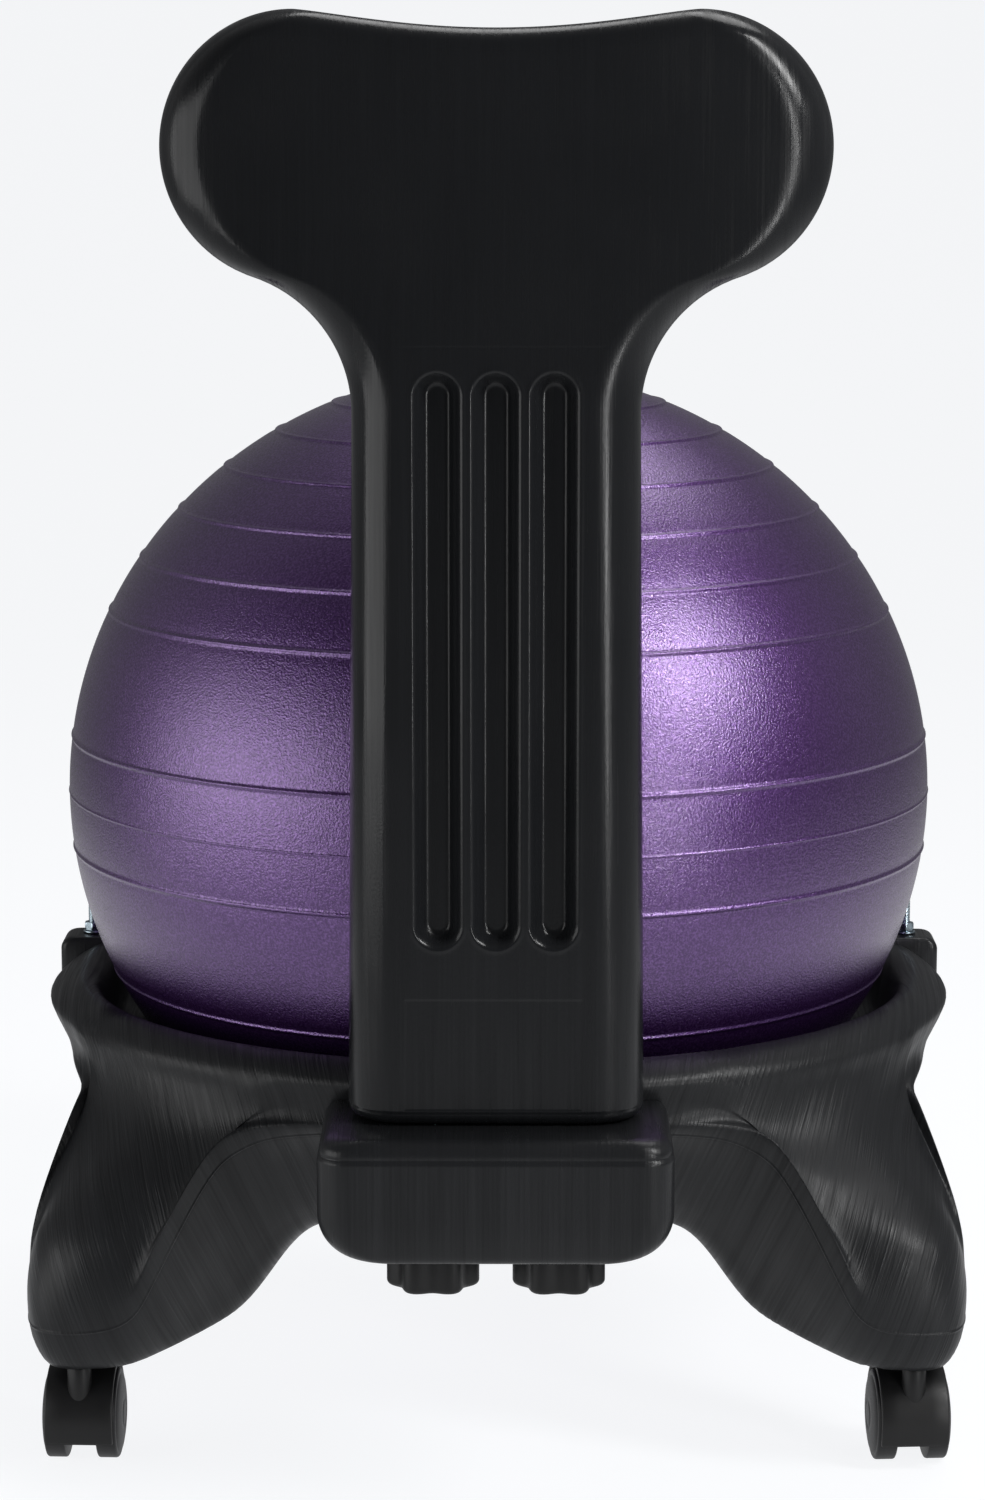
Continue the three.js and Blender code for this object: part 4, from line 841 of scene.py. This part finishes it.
def hood_shape(locking):
    """The caster's hood: a fender round the wheels, a web between them and a boss for the stem.

    The hood of a locking caster also has two ears that hold its pedal's pin.
    """
    lower_edge = -20  # degrees; the photo shows the hood end here
    fender = arc_band([(-18.8, 27.4), (-18.8, 28.6), (-18.5, 29.25), (-17.9, 29.5), (-9, 29.5),
                       (9, 29.5), (17.9, 29.5), (18.5, 29.25), (18.8, 28.6), (18.8, 27.4), (18.4, 27),
                       (9, 27), (-9, 27), (-18.4, 27)], lower_edge, 196, 84)
    web = arc_band([(-8.1, 4), (-8.1, 27.6), (-7.4, 28.3), (7.4, 28.3), (8.1, 27.6), (8.1, 4)],
                   lower_edge, 206, 84)
    profile = [(0, 7.2), (2.4, 7.7), (4.6, 9.4), (6.1, 12), (6.7, 15), (6.7, 32.3), (6.5, 32.8),
               (6.0, 33), (4.3, 33), (4.3, 12), (0, 12)]
    boss, faces = revolve(profile, 48)
    shapes = [fender, web, (boss + [0, CASTER_OFFSET, 0], faces)]
    if locking:
        ear_radius, root = 4, 27.5
        base = PEDAL_PIN * (root / math.hypot(*PEDAL_PIN))
        sideways = np.array([-base[1], base[0]]) * ear_radius / root
        arc = math.atan2(sideways[1], sideways[0]) - np.pi + np.linspace(0, np.pi, 18)
        ear = PEDAL_PIN + ear_radius * np.stack([np.cos(arc), np.sin(arc)], 1)
        outline = np.vstack([base - sideways, ear, base + sideways])
        for side in (1, -1):
            rows = np.array([np.hstack([np.full((len(outline), 1), x), outline])
                             for x in (side * 7.8 - 1, side * 7.8 + 1)])
            shapes.append(fan_closed(rows))
    return joined(*shapes)


def casters():
    """Wheels, hoods, stems and pedals at the four feet, each turned as its caster stands."""
    stem = revolve([(0, 33), (3.6, 33), (4, 33.4), (4, 58.3), (5.3, 58.3), (5.6, 58.6), (5.6, 60.4),
                    (5.3, 60.7), (4, 60.7), (4, 92.5), (2.8, 93.7), (0, 93.7)], 40)
    sleeve = revolve([(0, 96.6), (4.3, 96.6), (4.3, 61), (8.7, 61), (9, 61.3), (9, 62.4), (6, 62.4),
                      (6, 97.4), (5.4, 98), (0, 98)], 40)
    axle = np.array([0, -CASTER_OFFSET, WHEEL_RADIUS])
    for name, (x, y, turn) in CASTERS.items():
        locking = name.startswith("front")
        left, right, fork = f"wheel_{name}_left", f"wheel_{name}_right", f"caster_{name}"
        pieces = [(left, "tyre", wheel_shape(1), axle, left, "wheel_nylon"),
                  (right, "tyre", wheel_shape(-1), axle, right, "wheel_nylon"),
                  (f"caster_hood_{name}", "shell", hood_shape(locking), axle, fork, "black_nylon"),
                  (f"caster_stem_{name}", "pin", stem, 0, fork, "zinc_steel"),
                  (f"caster_socket_{name}", "sleeve", sleeve, 0, "base", "black_nylon")]
        if locking:
            pedal, pin = f"lock_pedal_{name}", axle + [0, *PEDAL_PIN]
            pieces.append((pedal, "tread", lock_pedal_shape(), pin, pedal, "black_nylon"))
        foot = (x * FOOT_SPREAD, y * FOOT_SPREAD, 0.0)
        for node, end, (points, faces), place, body, slot in pieces:
            mesh_piece(f"{node}_{end}", turned(points + place, turn, foot), faces, body, [node], slot)


def small_hardware():
    """Washers, nuts and the valve plug, turned or cut at fine steps where the part has ten sides."""
    bar_washer = revolve([(3.3, 0.3), (6.0, 0.3), (6.2, 0.5), (6.2, 1.5), (6.0, 1.7), (3.3, 1.7),
                          (3.3, 0.3)], 48)
    bar_nut = hexagon_nut(10, 3.3, 2.0, 7.0)
    knob_washer = revolve([(4.3, -1.8), (10.8, -1.8), (11, -1.6), (11, -0.5), (10.8, -0.3),
                           (4.3, -0.3), (4.3, -1.8)], 64)
    for hand, side in (("left", 1), ("right", -1)):
        rod = [side * BAR_X, -BAR_SETBACK, LUG_TOP]
        clamp = [side * KNOB_X, CLAMP_Y, BLOCK_BOTTOM]
        for node, end, (points, faces), place, body in (
                (f"bar_washer_{hand}", "disc", bar_washer, rod, "base"),
                (f"bar_nut_{hand}", "hexagon", bar_nut, rod, "base"),
                (f"knob_washer_{hand}", "disc", knob_washer, clamp, "backrest")):
            mesh_piece(f"{node}_{end}", points + place, faces, body, [node], "zinc_steel")
    valve = BALL_CENTRE - BALL_HALF_HEIGHT
    plug = [(0, -2.5), (6.8, -2.5), (7.7, -2.1), (8, -1.4), (7.8, -0.5), (7.2, -0.3), (4.2, -0.3),
            (4.2, 2), (4.0, 3), (4.2, 4), (4.2, 11.5), (2.1, 15.7), (0, 15.7)]
    shape, faces = revolve(plug, 48)
    mesh_piece("valve_plug_moulding", shape + [0, 0, valve], faces, "valve_plug", ["valve_plug"],
               "white_plug")


# ---- stage

# Strengths in reflections, from dim to pale, and as seen directly.
SURROUND_DIM, SURROUND_PALE, SURROUND_SEEN = 0.05, 0.3, 0.93
FLOOR_DIM, FLOOR_PALE, FLOOR_SEEN = 0.12, 0.6, 0.945


def sweep():
    """Seamless paper: a floor that curves up through a quarter circle of 2.5 m into a wall."""
    a = np.linspace(0, np.pi / 2, 20)
    y = np.concatenate([[7.0, 3.5, 1.0, -1.0], -3.0 - 2.5 * np.sin(a), [-5.5]])
    z = np.concatenate([[0, 0, 0, 0], 2.5 * (1 - np.cos(a)), [7.0]])
    x = np.linspace(-8, 8, 17)
    grid = np.stack(np.broadcast_arrays(x[None], y[:, None], z[:, None]), -1)
    mesh = bpy.data.meshes.new("paper_sweep")
    faces = grid_faces(len(y), len(x), round_columns=False)
    mesh.from_pydata(grid.reshape(-1, 3).tolist(), [], faces.tolist())
    mesh.polygons.foreach_set("use_smooth", np.ones(len(mesh.polygons), bool))
    paper, tree, shader = new_material("matt_seamless_paper", Roughness=0.95)
    shader.inputs["Emission Color"].default_value = linear("#f6f7f9")
    source = add(tree, "TexCoord").outputs["Object"]
    # The paper glows by its own emission, a painted pool of light: strong near the chair and dim 0.5
    # to 2.2 m away in reflections, and evenly pale to the eye.
    away = add(tree, "VectorMath", {0: source}, operation="LENGTH")
    painted_floor_glow = add(tree, "MapRange", {"Value": away.outputs["Value"],
        "From Min": 2.2, "From Max": 0.5, "To Min": FLOOR_DIM, "To Max": FLOOR_PALE})
    eye = add(tree, "LightPath")
    strength = add(tree, "Mix", {"Factor": eye.outputs["Is Camera Ray"],
        2: painted_floor_glow.outputs[0], 3: FLOOR_SEEN})
    fibre = add(tree, "TexNoise", {"Vector": source, "Scale": 60.0})
    colour = add(tree, "Mix", {"Factor": fibre.outputs["Fac"],
        6: linear("#707172"), 7: linear("#6c6d6e")}, data_type="RGBA")
    wire(tree, shader, Base_Color=colour.outputs[2], Emission_Strength=strength.outputs[0])
    mesh.materials.append(paper)
    paper_sweep = placed("paper_sweep", mesh)


def soft_light(name, place, aim, size, watts):
    """A soft box of a width and height that looks from its place at a point."""
    data = bpy.data.lights.new(name, "AREA")
    data.shape, data.size, data.size_y = "RECTANGLE", size[0], size[1]
    data.energy = watts
    box = placed(name, data)
    box.location = place
    away = np.array(place) - np.array(aim)
    box.rotation_euler = (math.atan2(math.hypot(away[0], away[1]), away[2]), 0,
                          math.atan2(away[1], away[0]) + math.pi / 2)


def camera():
    """The photograph's camera: 2.42 m behind the ball, 0.76 m up, looking 9.25 degrees down.

    The chair stands 0.34 degrees askew to it, which is put into the camera.
    """
    data = bpy.data.cameras.new("photo_camera")
    sensor, focal_pixels, picture_pixels = 36.0, 4102, 1500
    data.sensor_fit, data.sensor_width = "AUTO", sensor
    data.lens = sensor * focal_pixels / picture_pixels
    data.clip_start, data.clip_end = 0.05, 50
    eye = placed("photo_camera", data)
    yaw = math.radians(0.3464)
    across, back = 0.0036, 2.417
    eye.location = (across * math.cos(yaw) - back * math.sin(yaw) + BALL_AXIS[0],
                    across * math.sin(yaw) + back * math.cos(yaw) + BALL_AXIS[1], 0.7596)
    eye.rotation_euler = (math.radians(90 - 9.253), 0, math.pi + yaw)
    bpy.context.scene.camera = eye


def surround():
    """A studio that is pale behind the chair and dim on the camera's side, and pale to the eye."""
    world = bpy.data.worlds.new("studio_surround")
    world.use_nodes = True
    tree = world.node_tree
    tree.nodes.clear()
    source = add(tree, "TexCoord")
    axes = add(tree, "SeparateXYZ", {"Vector": source.outputs["Generated"]})
    side = add(tree, "MapRange", {"Value": axes.outputs["Y"],
        "From Min": 0.35, "From Max": -0.7, "To Min": SURROUND_DIM, "To Max": SURROUND_PALE})
    eye = add(tree, "LightPath")
    strength = add(tree, "Mix", {"Factor": eye.outputs["Is Camera Ray"],
        2: side.outputs[0], 3: SURROUND_SEEN})
    background = add(tree, "Background", {"Color": linear("#fdfdff"),
        "Strength": strength.outputs[0]})
    add(tree, "OutputWorld", {"Surface": background.outputs[0]})
    bpy.context.scene.world = world


bpy.context.scene.view_settings.view_transform = "Standard"
camera()
surround()
sweep()
# The key makes the ball's highlight, the broad box lights its left side, the overhead one the tops
# and shadows, and the strip the grooves' lips and the right edges.
soft_light("key_right", (-1.38, 0.92, 1.56), (0, 0, 0.4), (0.36, 0.88), 22)
soft_light("broad_left", (1.9, 0.85, 0.5), (0, 0, 0.36), (2.1, 1.4), 19)
soft_light("overhead", (-0.5, -0.9, 2.7), (0, 0, 0.3), (1.7, 1.2), 20)
soft_light("strip_right", (-1.3, 1.64, 0.6), (0, 0, 0.6), (0.16, 1.0), 10)

ball_skin()
base_ring()
rear_block()
bar_lugs()
backrest()
for knob_hand, knob_side in (("left", 1), ("right", -1)):
    clamp_knob(knob_hand, knob_side)
retaining_bar()
casters()
small_hardware()

for part in frame["record"]["subparts"]:
    for slot in frame["nodes"][part["node"]].material_slots:
        slot.material = finish_of[part["material_slot"]]
